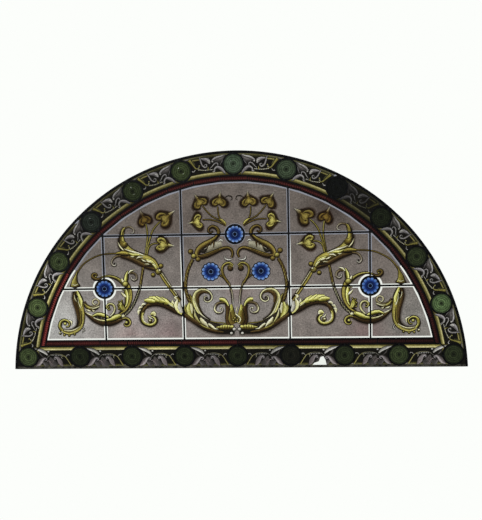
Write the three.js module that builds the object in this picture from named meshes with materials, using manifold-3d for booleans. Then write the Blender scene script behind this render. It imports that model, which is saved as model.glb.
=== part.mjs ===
// Leaded stained glass lunette: a painted field of thirteen panes with three blue rosettes let
// in where the cames cross, a ruby fillet, and a border of green roundels with painted panels
// between them, all held in one soldered net of H-section lead came.
// Millimetres. X runs across the window, Z is up and the painted room side faces -Y.
// The whole window is laid out flat in X and Y with its thickness along Z, and the group
// that holds it stands it up.

import * as THREE from "three";
import { mergeVertices } from "three/addons/utils/BufferGeometryUtils.js";
import Module from "manifold-3d";

// Overall size: the base line runs from corner to corner and the arch is one circular arc.
const WIDTH = 2000;
const RISE = 952;

// Lead came: an H section, two leaves on a heart, with a groove each side for the glass.
const CAME_LEAF = 7.6;
const CAME_HEART = 1.6;
const LEAF_THICKNESS = 1.3;
const PERIMETER_LEAF = 11;
const PERIMETER_HEART = 3;
const GLASS_THICKNESS = 3;
const SEAT_GAP = 0.3;
const LEAF_LAP = 2.3;
const BASE_LEAF_LAP = 5;

// Border of roundels and painted panels.
const ROUNDEL_SIGHT_RADIUS = 41;
const ARCH_BAYS = 12;
const BASE_BAYS = 8;
const PANEL_CORNER_SETBACK = 18.5;

// Ruby fillet between border and field, with short leads across the joints of its strips.
const ARCH_FILLET_SIGHT = 15;
const BASE_FILLET_SIGHT = 17.5;
const ARCH_STRIPS = 21;
const BASE_STRIPS = 14;
const CROSS_LEAD_WIDTH = 5;

// Painted field: lines of the cames that divide it.
const INNER_CAME_X = 233;
const OUTER_CAME_X = 582;
const LOWER_CAME_HEIGHT = 358;
const UPPER_CAME_HEIGHT = 591;
const ROSETTE_SIGHT_RADIUS = 37;

// Facets on the round work.
const RING_SIDES = 8;
const FACETS_PER_BAY = 2;

// Worked out from the sizes above.
const CHANNEL = GLASS_THICKNESS + 2 * SEAT_GAP;
const THICKNESS = CHANNEL + 2 * LEAF_THICKNESS;
const RADIUS = (WIDTH * WIDTH / 4 + RISE * RISE) / (2 * RISE);
const CENTRE_HEIGHT = RISE - RADIUS;
const RING_RADIUS = ROUNDEL_SIGHT_RADIUS + CAME_LEAF / 2;
const RING_REACH = RING_RADIUS + CAME_LEAF / 2;
const ROSETTE_RING_RADIUS = ROSETTE_SIGHT_RADIUS + CAME_LEAF / 2;
const ARCH_ROUNDEL_INSET = PERIMETER_LEAF + RING_REACH - LEAF_LAP;
const BASE_ROUNDEL_INSET = PERIMETER_LEAF + RING_REACH - BASE_LEAF_LAP;
const OUTER_FILLET_CAME = {
  arch: ARCH_ROUNDEL_INSET + RING_REACH + CAME_LEAF / 2 - LEAF_LAP,
  base: BASE_ROUNDEL_INSET + RING_REACH + CAME_LEAF / 2 - BASE_LEAF_LAP,
};
const INNER_FILLET_CAME = {
  arch: OUTER_FILLET_CAME.arch + CAME_LEAF + ARCH_FILLET_SIGHT,
  base: OUTER_FILLET_CAME.base + CAME_LEAF + BASE_FILLET_SIGHT,
};

// How far an edge lies from the centre line of its came: at the leaf's edge, at the edge of
// the glass in the groove, and at the heart. The perimeter came is measured from its outside.
const SIGHT = { came: CAME_LEAF / 2, rim: PERIMETER_LEAF };
const SEAT = { came: CAME_HEART / 2 + SEAT_GAP, rim: PERIMETER_HEART + SEAT_GAP };
const GROOVE = { came: CAME_HEART / 2, rim: PERIMETER_HEART };

const wasm = await Module();
wasm.setup();

// A closed three.js geometry as a solid that can be joined and cut.
function solidOf(geometry) {
  const bare = geometry.index ? geometry.toNonIndexed() : geometry.clone();
  bare.deleteAttribute("normal");
  bare.deleteAttribute("uv");
  const merged = mergeVertices(bare, 1e-4);
  return new wasm.Manifold(
    new wasm.Mesh({
      numProp: 3,
      vertProperties: new Float32Array(merged.attributes.position.array),
      triVerts: new Uint32Array(merged.index.array),
    }),
  );
}

// A finished solid as a flat-shaded three.js geometry, drawn about its own origin.
function geometryOf(solid, origin = new THREE.Vector2()) {
  const mesh = solid.getMesh();
  const geometry = new THREE.BufferGeometry();
  const points = new Float32Array(mesh.numVert * 3);
  for (let i = 0; i < mesh.numVert; i += 1) {
    points[3 * i] = mesh.vertProperties[mesh.numProp * i] - origin.x;
    points[3 * i + 1] = mesh.vertProperties[mesh.numProp * i + 1] - origin.y;
    points[3 * i + 2] = mesh.vertProperties[mesh.numProp * i + 2];
  }
  geometry.setAttribute("position", new THREE.BufferAttribute(points, 3));
  geometry.setIndex(new THREE.BufferAttribute(new Uint32Array(mesh.triVerts), 1));
  const flat = geometry.toNonIndexed();
  flat.computeVertexNormals();
  return flat;
}

// A flat plate of the given outline, centred in the window's thickness.
function plate(points, thickness) {
  const geometry = new THREE.ExtrudeGeometry(new THREE.Shape(points), {
    depth: thickness,
    bevelEnabled: false,
  });
  geometry.translate(0, 0, -thickness / 2);
  return solidOf(geometry);
}

// A round plate whose facets keep the area of the true circle, turned to face a direction.
function disc(centre, radius, thickness, facing = 0) {
  const step = (2 * Math.PI) / RING_SIDES;
  const fair = radius / Math.sqrt(Math.sin(step) / step);
  const points = [];
  for (let i = 0; i < RING_SIDES; i += 1) {
    const angle = facing + (i + 0.5) * step;
    points.push(new THREE.Vector2(
      centre.x + fair * Math.cos(angle),
      centre.y + fair * Math.sin(angle),
    ));
  }
  return plate(points, thickness);
}

function rectangle(left, right, bottom, top, thickness) {
  return plate([
    new THREE.Vector2(left, bottom),
    new THREE.Vector2(right, bottom),
    new THREE.Vector2(right, top),
    new THREE.Vector2(left, top),
  ], thickness);
}

// Roundel centres. The corner ones sit at the same insets from the arch and the base.
const roundelRadius = RADIUS - ARCH_ROUNDEL_INSET;
const cornerAngle = Math.asin((BASE_ROUNDEL_INSET - CENTRE_HEIGHT) / roundelRadius);
const bayAngle = (Math.PI - 2 * cornerAngle) / ARCH_BAYS;
const cornerX = roundelRadius * Math.cos(cornerAngle);

function archRing(index) {
  const facing = Math.PI - cornerAngle - index * bayAngle;
  const centre = new THREE.Vector2(
    roundelRadius * Math.cos(facing),
    CENTRE_HEIGHT + roundelRadius * Math.sin(facing),
  );
  return { centre, facing };
}

function baseRing(index) {
  const x = -cornerX + (index * 2 * cornerX) / BASE_BAYS;
  return { centre: new THREE.Vector2(x, BASE_ROUNDEL_INSET), facing: -Math.PI / 2 };
}

// The space inside a line that runs parallel to the arch and the base. All such arcs share
// the same facet directions, so they stay parallel to each other.
function inside(inset, thickness) {
  const radius = RADIUS - inset.arch;
  const step = bayAngle / FACETS_PER_BAY;
  const footAngle = Math.asin(-CENTRE_HEIGHT / RADIUS);
  const angles = [footAngle - Math.PI / 6, footAngle];
  for (let i = 0; i <= ARCH_BAYS * FACETS_PER_BAY; i += 1) angles.push(cornerAngle + i * step);
  angles.push(Math.PI - footAngle, Math.PI - footAngle + Math.PI / 6);
  const points = angles.map((angle) => new THREE.Vector2(
    radius * Math.cos(angle),
    CENTRE_HEIGHT + radius * Math.sin(angle),
  ));
  const arc = plate(points, thickness);
  return arc.intersect(rectangle(-WIDTH, WIDTH, inset.base, 2 * RISE, thickness));
}

function insetBy(line, distance) {
  return { arch: line.arch + distance, base: line.base + distance };
}

function rim(level) {
  return { arch: level.rim, base: level.rim };
}

// How far a panel's corner keeps from the line through its roundel's centre. The corner is
// hidden behind the leaves, so the opening keeps no further off than the glass.
function setback(level) {
  return PANEL_CORNER_SETBACK + Math.min(level.came, SEAT.came);
}

// Corner of the outer fillet came, where a short mitre lead runs out to the corner roundel.
const filletCorner = new THREE.Vector2(
  Math.sqrt(
    (RADIUS - OUTER_FILLET_CAME.arch) ** 2 - (OUTER_FILLET_CAME.base - CENTRE_HEIGHT) ** 2,
  ),
  OUTER_FILLET_CAME.base,
);
const mitreAngle = Math.atan2(
  filletCorner.y - BASE_ROUNDEL_INSET,
  filletCorner.x - cornerX,
);
const mitreLength = Math.hypot(
  filletCorner.y - BASE_ROUNDEL_INSET,
  filletCorner.x - cornerX,
);

// A wedge of the border between two rays from each end's roundel, held back from the ray
// by a distance, so that neighbours end short of each other behind the roundel's ring.
function wedge(start, end, thickness) {
  const reach = 1.3 * mitreLength + PANEL_CORNER_SETBACK;
  const ray = (ring, direction, aside, back) => new THREE.Vector2(
    ring.centre.x + reach * Math.cos(direction) + back * Math.cos(aside),
    ring.centre.y + reach * Math.sin(direction) + back * Math.sin(aside),
  );
  const foot = (ring, aside, back) => new THREE.Vector2(
    ring.centre.x + back * Math.cos(aside),
    ring.centre.y + back * Math.sin(aside),
  );
  const side = ({ ring, out, into, outBack, intoBack, turn }) => {
    const outAside = out + turn * (Math.PI / 2);
    const intoAside = into - turn * (Math.PI / 2);
    const bend = [foot(ring, outAside, outBack), foot(ring, intoAside, intoBack)];
    if (bend[0].distanceTo(bend[1]) < SEAT_GAP) bend.pop();
    return [ray(ring, out, outAside, outBack), ...bend, ray(ring, into, intoAside, intoBack)];
  };
  const points = [...side(start), ...side(end).reverse()];
  return plate(THREE.ShapeUtils.area(points) < 0 ? points.reverse() : points, thickness);
}

function borderBand(level, thickness) {
  return inside(rim(level), thickness)
    .subtract(inside(insetBy(OUTER_FILLET_CAME, -level.came), 2 * thickness));
}

function archPanel(bay, level, thickness) {
  const first = archRing(bay);
  const last = archRing(bay + 1);
  const back = setback(level);
  const end = (ring, turn, corner) => ({
    ring,
    out: ring.facing,
    into: corner === undefined ? ring.facing + Math.PI : corner,
    outBack: back,
    intoBack: corner === undefined ? back : level.came,
    turn,
  });
  const leftMitre = bay === 0 ? Math.PI - mitreAngle : undefined;
  const rightMitre = bay === ARCH_BAYS - 1 ? mitreAngle : undefined;
  return borderBand(level, thickness)
    .intersect(wedge(end(first, -1, leftMitre), end(last, 1, rightMitre), 2 * thickness))
    .subtract(disc(first.centre, RING_RADIUS + level.came, 2 * thickness, first.facing))
    .subtract(disc(last.centre, RING_RADIUS + level.came, 2 * thickness, last.facing));
}

function basePanel(bay, level, thickness) {
  const first = baseRing(bay);
  const last = baseRing(bay + 1);
  const back = setback(level);
  const end = (ring, turn, corner) => ({
    ring,
    out: ring.facing,
    into: corner === undefined ? ring.facing + Math.PI : corner,
    outBack: back,
    intoBack: corner === undefined ? back : level.came,
    turn,
  });
  const leftMitre = bay === 0 ? Math.PI - mitreAngle : undefined;
  const rightMitre = bay === BASE_BAYS - 1 ? mitreAngle : undefined;
  return borderBand(level, thickness)
    .intersect(wedge(end(first, 1, leftMitre), end(last, -1, rightMitre), 2 * thickness))
    .subtract(disc(first.centre, RING_RADIUS + level.came, 2 * thickness, ringFacing(first)))
    .subtract(disc(last.centre, RING_RADIUS + level.came, 2 * thickness, ringFacing(last)));
}

// The corner roundels face the arch; those along the base face straight down.
function ringFacing(ring) {
  if (Math.abs(ring.centre.x) > cornerX - 1) {
    return ring.centre.x < 0 ? Math.PI - cornerAngle : cornerAngle;
  }
  return ring.facing;
}

// The small three-sided piece outside a corner roundel.
function cornerPiece(side, level, thickness) {
  const ring = side < 0 ? archRing(0) : archRing(ARCH_BAYS);
  const back = setback(level);
  const reach = 2 * PERIMETER_LEAF + 2 * ROUNDEL_SIGHT_RADIUS;
  const x = ring.centre.x + side * back;
  const across = rectangle(
    Math.min(x, x + side * reach), Math.max(x, x + side * reach),
    -reach, ring.centre.y - back, 2 * thickness,
  );
  return inside(rim(level), thickness)
    .intersect(across)
    .subtract(disc(ring.centre, RING_RADIUS + level.came, 2 * thickness, ring.facing));
}

// The ruby strips are carried as one band of glass round the field.
function fillet(level, thickness) {
  return inside(insetBy(OUTER_FILLET_CAME, level.came), thickness)
    .subtract(inside(insetBy(INNER_FILLET_CAME, -level.came), 2 * thickness));
}

// Short leads across the joints of the ruby strips, soldered on the front from the outer to
// the inner fillet came. The last one at each end of the base closes the corner.
function crossLeads() {
  const inner = RADIUS - INNER_FILLET_CAME.arch;
  const outer = RADIUS - OUTER_FILLET_CAME.arch;
  const low = Math.asin((INNER_FILLET_CAME.base - CENTRE_HEIGHT) / inner);
  const leads = [];
  for (let i = 1; i < ARCH_STRIPS; i += 1) {
    const angle = low + (Math.PI - 2 * low) * (i / ARCH_STRIPS);
    leads.push(
      rectangle(inner, outer, -CROSS_LEAD_WIDTH / 2, CROSS_LEAD_WIDTH / 2, LEAF_THICKNESS)
        .rotate([0, 0, THREE.MathUtils.radToDeg(angle)])
        .translate([0, CENTRE_HEIGHT, 0]),
    );
  }
  for (let i = 0; i <= BASE_STRIPS; i += 1) {
    const x = inner * Math.cos(low) * (2 * i / BASE_STRIPS - 1);
    leads.push(rectangle(
      x - CROSS_LEAD_WIDTH / 2, x + CROSS_LEAD_WIDTH / 2,
      OUTER_FILLET_CAME.base, INNER_FILLET_CAME.base, LEAF_THICKNESS,
    ));
  }
  return leads.map((lead) => lead.translate([0, 0, (THICKNESS - LEAF_THICKNESS) / 2]));
}

// Panes of the painted field, named by row and column.
const FAR = 2 * WIDTH;
const COLUMNS = [
  { name: "far_left", left: -FAR, right: -OUTER_CAME_X },
  { name: "left", left: -OUTER_CAME_X, right: -INNER_CAME_X },
  { name: "centre", left: -INNER_CAME_X, right: INNER_CAME_X },
  { name: "right", left: INNER_CAME_X, right: OUTER_CAME_X },
  { name: "far_right", left: OUTER_CAME_X, right: FAR },
];
const ROSETTES = [
  { name: "rosette_left", centre: new THREE.Vector2(-OUTER_CAME_X, LOWER_CAME_HEIGHT) },
  { name: "rosette_top", centre: new THREE.Vector2(0, UPPER_CAME_HEIGHT) },
  { name: "rosette_right", centre: new THREE.Vector2(OUTER_CAME_X, LOWER_CAME_HEIGHT) },
];

function fieldPanes() {
  const panes = [];
  COLUMNS.forEach((column, index) => {
    const outermost = index === 0 || index === COLUMNS.length - 1;
    panes.push({ name: `pane_bottom_${column.name}`, column, low: 0, high: LOWER_CAME_HEIGHT });
    panes.push({
      name: `pane_middle_${column.name}`,
      column,
      low: LOWER_CAME_HEIGHT,
      high: outermost ? FAR : UPPER_CAME_HEIGHT,
    });
    if (!outermost) {
      panes.push({ name: `pane_top_${column.name}`, column, low: UPPER_CAME_HEIGHT, high: FAR });
    }
  });
  return panes;
}

function fieldPane(pane, level, thickness) {
  const bottom = pane.low === 0 ? 0 : pane.low + level.came;
  let glass = inside(insetBy(INNER_FILLET_CAME, level.came), thickness).intersect(rectangle(
    pane.column.left + level.came, pane.column.right - level.came,
    bottom, pane.high - level.came, 2 * thickness,
  ));
  for (const rosette of ROSETTES) {
    glass = glass.subtract(
      disc(rosette.centre, ROSETTE_RING_RADIUS + level.came, 2 * thickness, Math.PI / 2),
    );
  }
  return glass;
}

// Colours and finishes as seen with daylight behind the window.
const COLOURS = {
  lead: { color: 0x2b2c2d, roughness: 0.7, metalness: 0.6 },
  field: { color: 0x8d8580, roughness: 0.5, metalness: 0 },
  border: { color: 0x5a5340, roughness: 0.5, metalness: 0 },
  roundel: { color: 0x40503a, roughness: 0.25, metalness: 0 },
  rosette: { color: 0x3f62a8, roughness: 0.3, metalness: 0 },
  ruby: { color: 0x5e1a1c, roughness: 0.35, metalness: 0 },
};

const lunette = new THREE.Group();

function place(name, finish, solid, origin = new THREE.Vector2()) {
  const mesh = new THREE.Mesh(
    geometryOf(solid, origin),
    new THREE.MeshStandardMaterial(COLOURS[finish]),
  );
  mesh.name = name;
  mesh.position.set(origin.x, origin.y, 0);
  lunette.add(mesh);
}

// Every piece of glass: its name, finish, own origin and the function that shapes it.
const glazing = [];

for (const pane of fieldPanes()) {
  glazing.push({
    name: pane.name,
    finish: "field",
    shape: (level, thickness) => fieldPane(pane, level, thickness),
  });
}
for (const rosette of ROSETTES) {
  glazing.push({
    name: rosette.name,
    finish: "rosette",
    origin: rosette.centre,
    shape: (level, thickness) => disc(
      rosette.centre, ROSETTE_RING_RADIUS - level.came, thickness, Math.PI / 2,
    ),
  });
}
for (let i = 0; i <= ARCH_BAYS; i += 1) {
  const ring = archRing(i);
  glazing.push({
    name: `roundel_arch_${String(i + 1).padStart(2, "0")}`,
    finish: "roundel",
    origin: ring.centre,
    shape: (level, thickness) => disc(
      ring.centre, RING_RADIUS - level.came, thickness, ring.facing,
    ),
  });
}
for (let i = 1; i < BASE_BAYS; i += 1) {
  const ring = baseRing(i);
  glazing.push({
    name: `roundel_base_${String(i).padStart(2, "0")}`,
    finish: "roundel",
    origin: ring.centre,
    shape: (level, thickness) => disc(
      ring.centre, RING_RADIUS - level.came, thickness, ring.facing,
    ),
  });
}
for (let i = 0; i < ARCH_BAYS; i += 1) {
  glazing.push({
    name: `border_panel_arch_${String(i + 1).padStart(2, "0")}`,
    finish: "border",
    shape: (level, thickness) => archPanel(i, level, thickness),
  });
}
for (let i = 0; i < BASE_BAYS; i += 1) {
  glazing.push({
    name: `border_panel_base_${String(i + 1).padStart(2, "0")}`,
    finish: "border",
    shape: (level, thickness) => basePanel(i, level, thickness),
  });
}
for (const side of [-1, 1]) {
  glazing.push({
    name: side < 0 ? "border_corner_left" : "border_corner_right",
    finish: "border",
    shape: (level, thickness) => cornerPiece(side, level, thickness),
  });
}
glazing.push({ name: "ruby_fillet", finish: "ruby", shape: fillet });

// The lead net is the whole lunette less the opening and the groove of each piece of glass,
// with the short leads across the fillet put back.
let net = inside({ arch: 0, base: 0 }, THICKNESS);
for (const piece of glazing) {
  net = net
    .subtract(piece.shape(GROOVE, CHANNEL))
    .subtract(piece.shape(SIGHT, 2 * THICKNESS));
  place(piece.name, piece.finish, piece.shape(SEAT, GLASS_THICKNESS), piece.origin);
}
for (const lead of crossLeads()) net = net.add(lead);
place("lead_came_net", "lead", net);

// Stood upright: the height of the layout becomes Z and its front faces -Y.
lunette.rotation.x = Math.PI / 2;

const root = new THREE.Group();
root.add(lunette);

export default root;
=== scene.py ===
"""The looks of a half-round leaded window: painted glass, pressed roundels, ruby fillet and soldered lead."""

import logging
import math
from collections.abc import Callable, Iterable, Sequence
from dataclasses import dataclass, field
from enum import Enum

import bmesh
import bpy
import numpy as np
from mathutils import Matrix, Vector
from mathutils.geometry import delaunay_2d_cdt


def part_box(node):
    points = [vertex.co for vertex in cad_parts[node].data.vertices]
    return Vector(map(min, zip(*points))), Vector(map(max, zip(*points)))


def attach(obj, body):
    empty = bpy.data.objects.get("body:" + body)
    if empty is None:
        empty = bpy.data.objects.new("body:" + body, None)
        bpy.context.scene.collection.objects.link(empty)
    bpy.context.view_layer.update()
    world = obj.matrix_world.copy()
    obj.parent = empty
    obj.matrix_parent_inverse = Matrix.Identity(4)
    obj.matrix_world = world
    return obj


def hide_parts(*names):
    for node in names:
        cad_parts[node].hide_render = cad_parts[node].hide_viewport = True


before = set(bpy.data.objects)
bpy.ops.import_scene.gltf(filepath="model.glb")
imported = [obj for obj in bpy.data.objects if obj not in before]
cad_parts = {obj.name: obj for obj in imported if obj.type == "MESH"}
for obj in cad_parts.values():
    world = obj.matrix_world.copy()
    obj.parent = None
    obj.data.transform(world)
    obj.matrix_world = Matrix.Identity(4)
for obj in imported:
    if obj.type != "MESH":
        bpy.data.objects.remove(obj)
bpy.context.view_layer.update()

LOG = logging.getLogger("leaded_window")
BODY = "root"
MM = 0.001
Point = tuple[float, float]
# Marks for a face that no paint covers: matted glass and clear glass.
MATTED_FACE = -1
CLEAR_FACE = -2


def srgb(code: str) -> np.ndarray:
    """Red, green and blue from 0 to 1, as written in a hex code."""
    return np.array([int(code[i : i + 2], 16) / 255 for i in (0, 2, 4)])


def linear(colour: str | np.ndarray) -> np.ndarray:
    """Turns sRGB, as a hex code or as numbers from 0 to 1, to the linear values that shaders take."""
    c = srgb(colour) if isinstance(colour, str) else np.asarray(colour, float)
    return np.where(c <= 0.04045, c / 12.92, ((c + 0.055) / 1.055) ** 2.4)


# Lines of the leading


@dataclass
class Leading:
    """The sizes of the lead net and the lines that its cames follow, in millimetres.

    x runs to the right and z up in the window's plane, and an inset is a distance inside its outline.
    """

    leaf: float = 7.6
    leaf_thickness: float = 1.0
    heart: float = 1.6
    channel: float = 3.6
    perimeter_leaf: float = 11.0
    perimeter_heart: float = 3.0
    seat: float = 1.1
    rim_seat: float = 3.3
    ring_radius: float = 44.8
    rosette_ring_radius: float = 40.8
    arch_bays: int = 12
    base_bays: int = 8
    arch_outer_came: float = 107.4
    base_outer_came: float = 102.0
    arch_inner_came: float = 130.0
    base_inner_came: float = 127.1
    inner_came_x: float = 233.0
    outer_came_x: float = 582.0
    lower_came: float = 358.0
    upper_came: float = 591.0
    arch_strips: int = 21
    base_strips: int = 14
    width: float = field(init=False)
    rise: float = field(init=False)

    def __post_init__(self) -> None:
        """Takes the outline's size and the roundels' places from the frame."""
        low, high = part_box("lead_came_net")
        self.width = (high.x - low.x) / MM
        self.rise = (high.z - low.z) / MM
        self.radius = (self.width**2 / 4 + self.rise**2) / (2 * self.rise)
        self.centre_z = self.rise - self.radius
        corner_x, corner_z = self.centre_of("roundel_arch_01")
        self.corner_x = -corner_x
        self.base_inset = corner_z
        self.arch_inset = self.radius - math.hypot(corner_x, corner_z - self.centre_z)
        self.corner_angle = math.asin((corner_z - self.centre_z) / (self.radius - self.arch_inset))
        self.bay_angle = (math.pi - 2 * self.corner_angle) / self.arch_bays
        self.base_bay = 2 * self.corner_x / self.base_bays

    @staticmethod
    def centre_of(node: str) -> Point:
        """The middle of a CAD node in the window's plane."""
        low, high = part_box(node)
        return (low.x + high.x) / 2 / MM, (low.z + high.z) / 2 / MM

    def on_arch(self, inset: float, angle: float) -> Point:
        """The point at an inset from the arch, at an angle from the +x axis."""
        reach = self.radius - inset
        return reach * math.cos(angle), self.centre_z + reach * math.sin(angle)

    def foot(self, inset: float, height: float) -> float:
        """The angle at which the line at an inset from the arch meets a height, on the right."""
        return math.asin((height - self.centre_z) / (self.radius - inset))

    def arc(self, inset: float, start: float, end: float, step: float = 12.0) -> list[Point]:
        """Points along the line at an inset from the arch, from one angle to another.

        Args:
            inset: distance inside the outline.
            start: first angle, in radians.
            end: last angle, in radians.
            step: greatest distance between two points.

        Returns:
            The points, both ends included.
        """
        count = max(2, math.ceil(abs(end - start) * (self.radius - inset) / step) + 1)
        return [self.on_arch(inset, a) for a in np.linspace(start, end, count)]

    def bay_angles(self, bay: int) -> tuple[float, float]:
        """The angles of the roundels at both ends of an arch bay, counted from the left."""
        start = math.pi - self.corner_angle - bay * self.bay_angle
        return start, start - self.bay_angle

    def lunette(self, arch_inset: float, base_height: float) -> list[Point]:
        """The half-round outline at an inset from the arch, above a height."""
        foot = self.foot(arch_inset, base_height)
        return self.arc(arch_inset, foot, math.pi - foot)

    def fillet_corner(self) -> Point:
        """The right-hand corner of the came outside the ruby fillet."""
        foot = self.foot(self.arch_outer_came, self.base_outer_came)
        return self.on_arch(self.arch_outer_came, foot)


def disc(centre: Point, radius: float, sides: int = 48) -> list[Point]:
    """The points of a circle, counter-clockwise.

    Args:
        centre: its middle.
        radius: its radius.
        sides: how many points it has.

    Returns:
        The points.
    """
    return [
        (centre[0] + radius * math.cos(a), centre[1] + radius * math.sin(a))
        for a in np.arange(sides) * 2 * math.pi / sides
    ]


def box_outline(x0: float, z0: float, x1: float, z1: float) -> list[Point]:
    """The corners of a rectangle, counter-clockwise."""
    return [(x0, z0), (x1, z0), (x1, z1), (x0, z1)]


# Paint


@dataclass(frozen=True)
class Pigment:
    """A fired paint or stain: the colours of its outline, shade, body and light, as sRGB hex codes."""

    line: str
    shade: str
    body: str
    light: str

    def lit(self, amount: np.ndarray) -> np.ndarray:
        """Colours from shade through body to light, for amounts from 0 to 1.

        Args:
            amount: how brightly each place is lit.

        Returns:
            sRGB colours, in a last axis of three.
        """
        stops = np.array([srgb(self.shade), srgb(self.body), srgb(self.light)])
        a = np.clip(amount, 0, 1)
        return np.stack([np.interp(a, (0, 0.5, 1), stops[:, i]) for i in range(3)], -1)


# Silver stain turns glass yellow from lemon to amber, and vitreous paint models it with brown and black.
STAIN = Pigment("0e0a03", "2a2209", "857c34", "e4e086")
AMBER = Pigment("0e0904", "22180a", "655722", "b4a852")
LEMON = Pigment("120d03", "4a4416", "b0ac4c", "f4f2a6")
OLIVE = Pigment("14110a", "302a12", "5c5528", "8d874c")
CREAM = Pigment("161208", "6e6640", "d8d3a6", "fffde8")
SILVER = Pigment("141310", "4c4942", "b0aca2", "f0eee6")
FAWN = Pigment("2a261c", "5d5746", "8f8a76", "b5b09a")
UMBER = Pigment("110b06", "20150a", "402e16", "6b5a30")
STEM = Pigment("0e0c05", "363010", "8a8240", "dcd894")
RUST = Pigment("120803", "1f1206", "4a3716", "80692e")
INK = Pigment("120f0b", "120f0b", "211c15", "322b22")
BLUE = Pigment("0b1020", "16294f", "3e5f9e", "93b2e4")
LIGHT_FROM = np.array([-0.35, 0.94])
BORDER_LIGHT = np.array([-0.35, -0.94])
# The browns and blacks that the painter shaded and outlined with.
STROKE_SHADE = "20140a"
BUD_SHADE = "2a1a0e"
BUD_LINE = "1c1007"
KNOT_BLACK = "0c0803"


def smooth_path(points: Sequence[Point], step: float = 4.0, closed: bool = False) -> np.ndarray:
    """A smooth curve through a few points, cut into short even steps.

    Args:
        points: the points it passes through.
        step: length of each step, in millimetres.
        closed: True to join the end to the start.

    Returns:
        The curve's points, one row each.
    """
    p = np.asarray(points, float)
    if closed:
        p = np.vstack([p[-1], p, p[0], p[1]])
    else:
        p = np.vstack([2 * p[0] - p[1], p, 2 * p[-1] - p[-2]])
    fine = []
    for a, b, c, d in zip(p, p[1:], p[2:], p[3:]):
        t = np.linspace(0, 1, 12, endpoint=False)[:, None]
        fine.append(
            0.5 * (2 * b + (c - a) * t + (2 * a - 5 * b + 4 * c - d) * t**2 + (3 * b - a - 3 * c + d) * t**3)
        )
    curve = np.vstack([*fine, p[-2]])
    along = np.concatenate([[0], np.cumsum(np.linalg.norm(np.diff(curve, axis=0), axis=1))])
    even = np.linspace(0, along[-1], max(3, round(along[-1] / step) + 1))
    return np.stack([np.interp(even, along, curve[:, i]) for i in range(2)], -1)


def sparser(p: np.ndarray, reach: float = 16.0, bend: float = 15.0) -> np.ndarray:
    """Leaves out points of a curve where it runs nearly straight.

    Args:
        p: the curve's points.
        reach: the longest step, in millimetres.
        bend: the most that the curve may turn in one step, in degrees.

    Returns:
        The points kept, with the first and the last.
    """
    steps = np.diff(p, axis=0)
    lengths = np.linalg.norm(steps, axis=1)
    turns = np.abs(np.diff(np.unwrap(np.arctan2(steps[:, 1], steps[:, 0]))))
    kept, gone, turned = [0], 0.0, 0.0
    for i in range(1, len(p) - 1):
        gone += lengths[i - 1]
        turned += turns[i - 1]
        if gone + lengths[i] > reach or turned > math.radians(bend):
            kept.append(i)
            gone, turned = 0.0, 0.0
    return p[[*kept, len(p) - 1]]


def doubled_area(a: np.ndarray, b: np.ndarray, c: np.ndarray) -> np.ndarray:
    """Twice the areas of triangles, positive where they run counter-clockwise."""
    return (b[:, 0] - a[:, 0]) * (c[:, 1] - a[:, 1]) - (b[:, 1] - a[:, 1]) * (c[:, 0] - a[:, 0])


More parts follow.
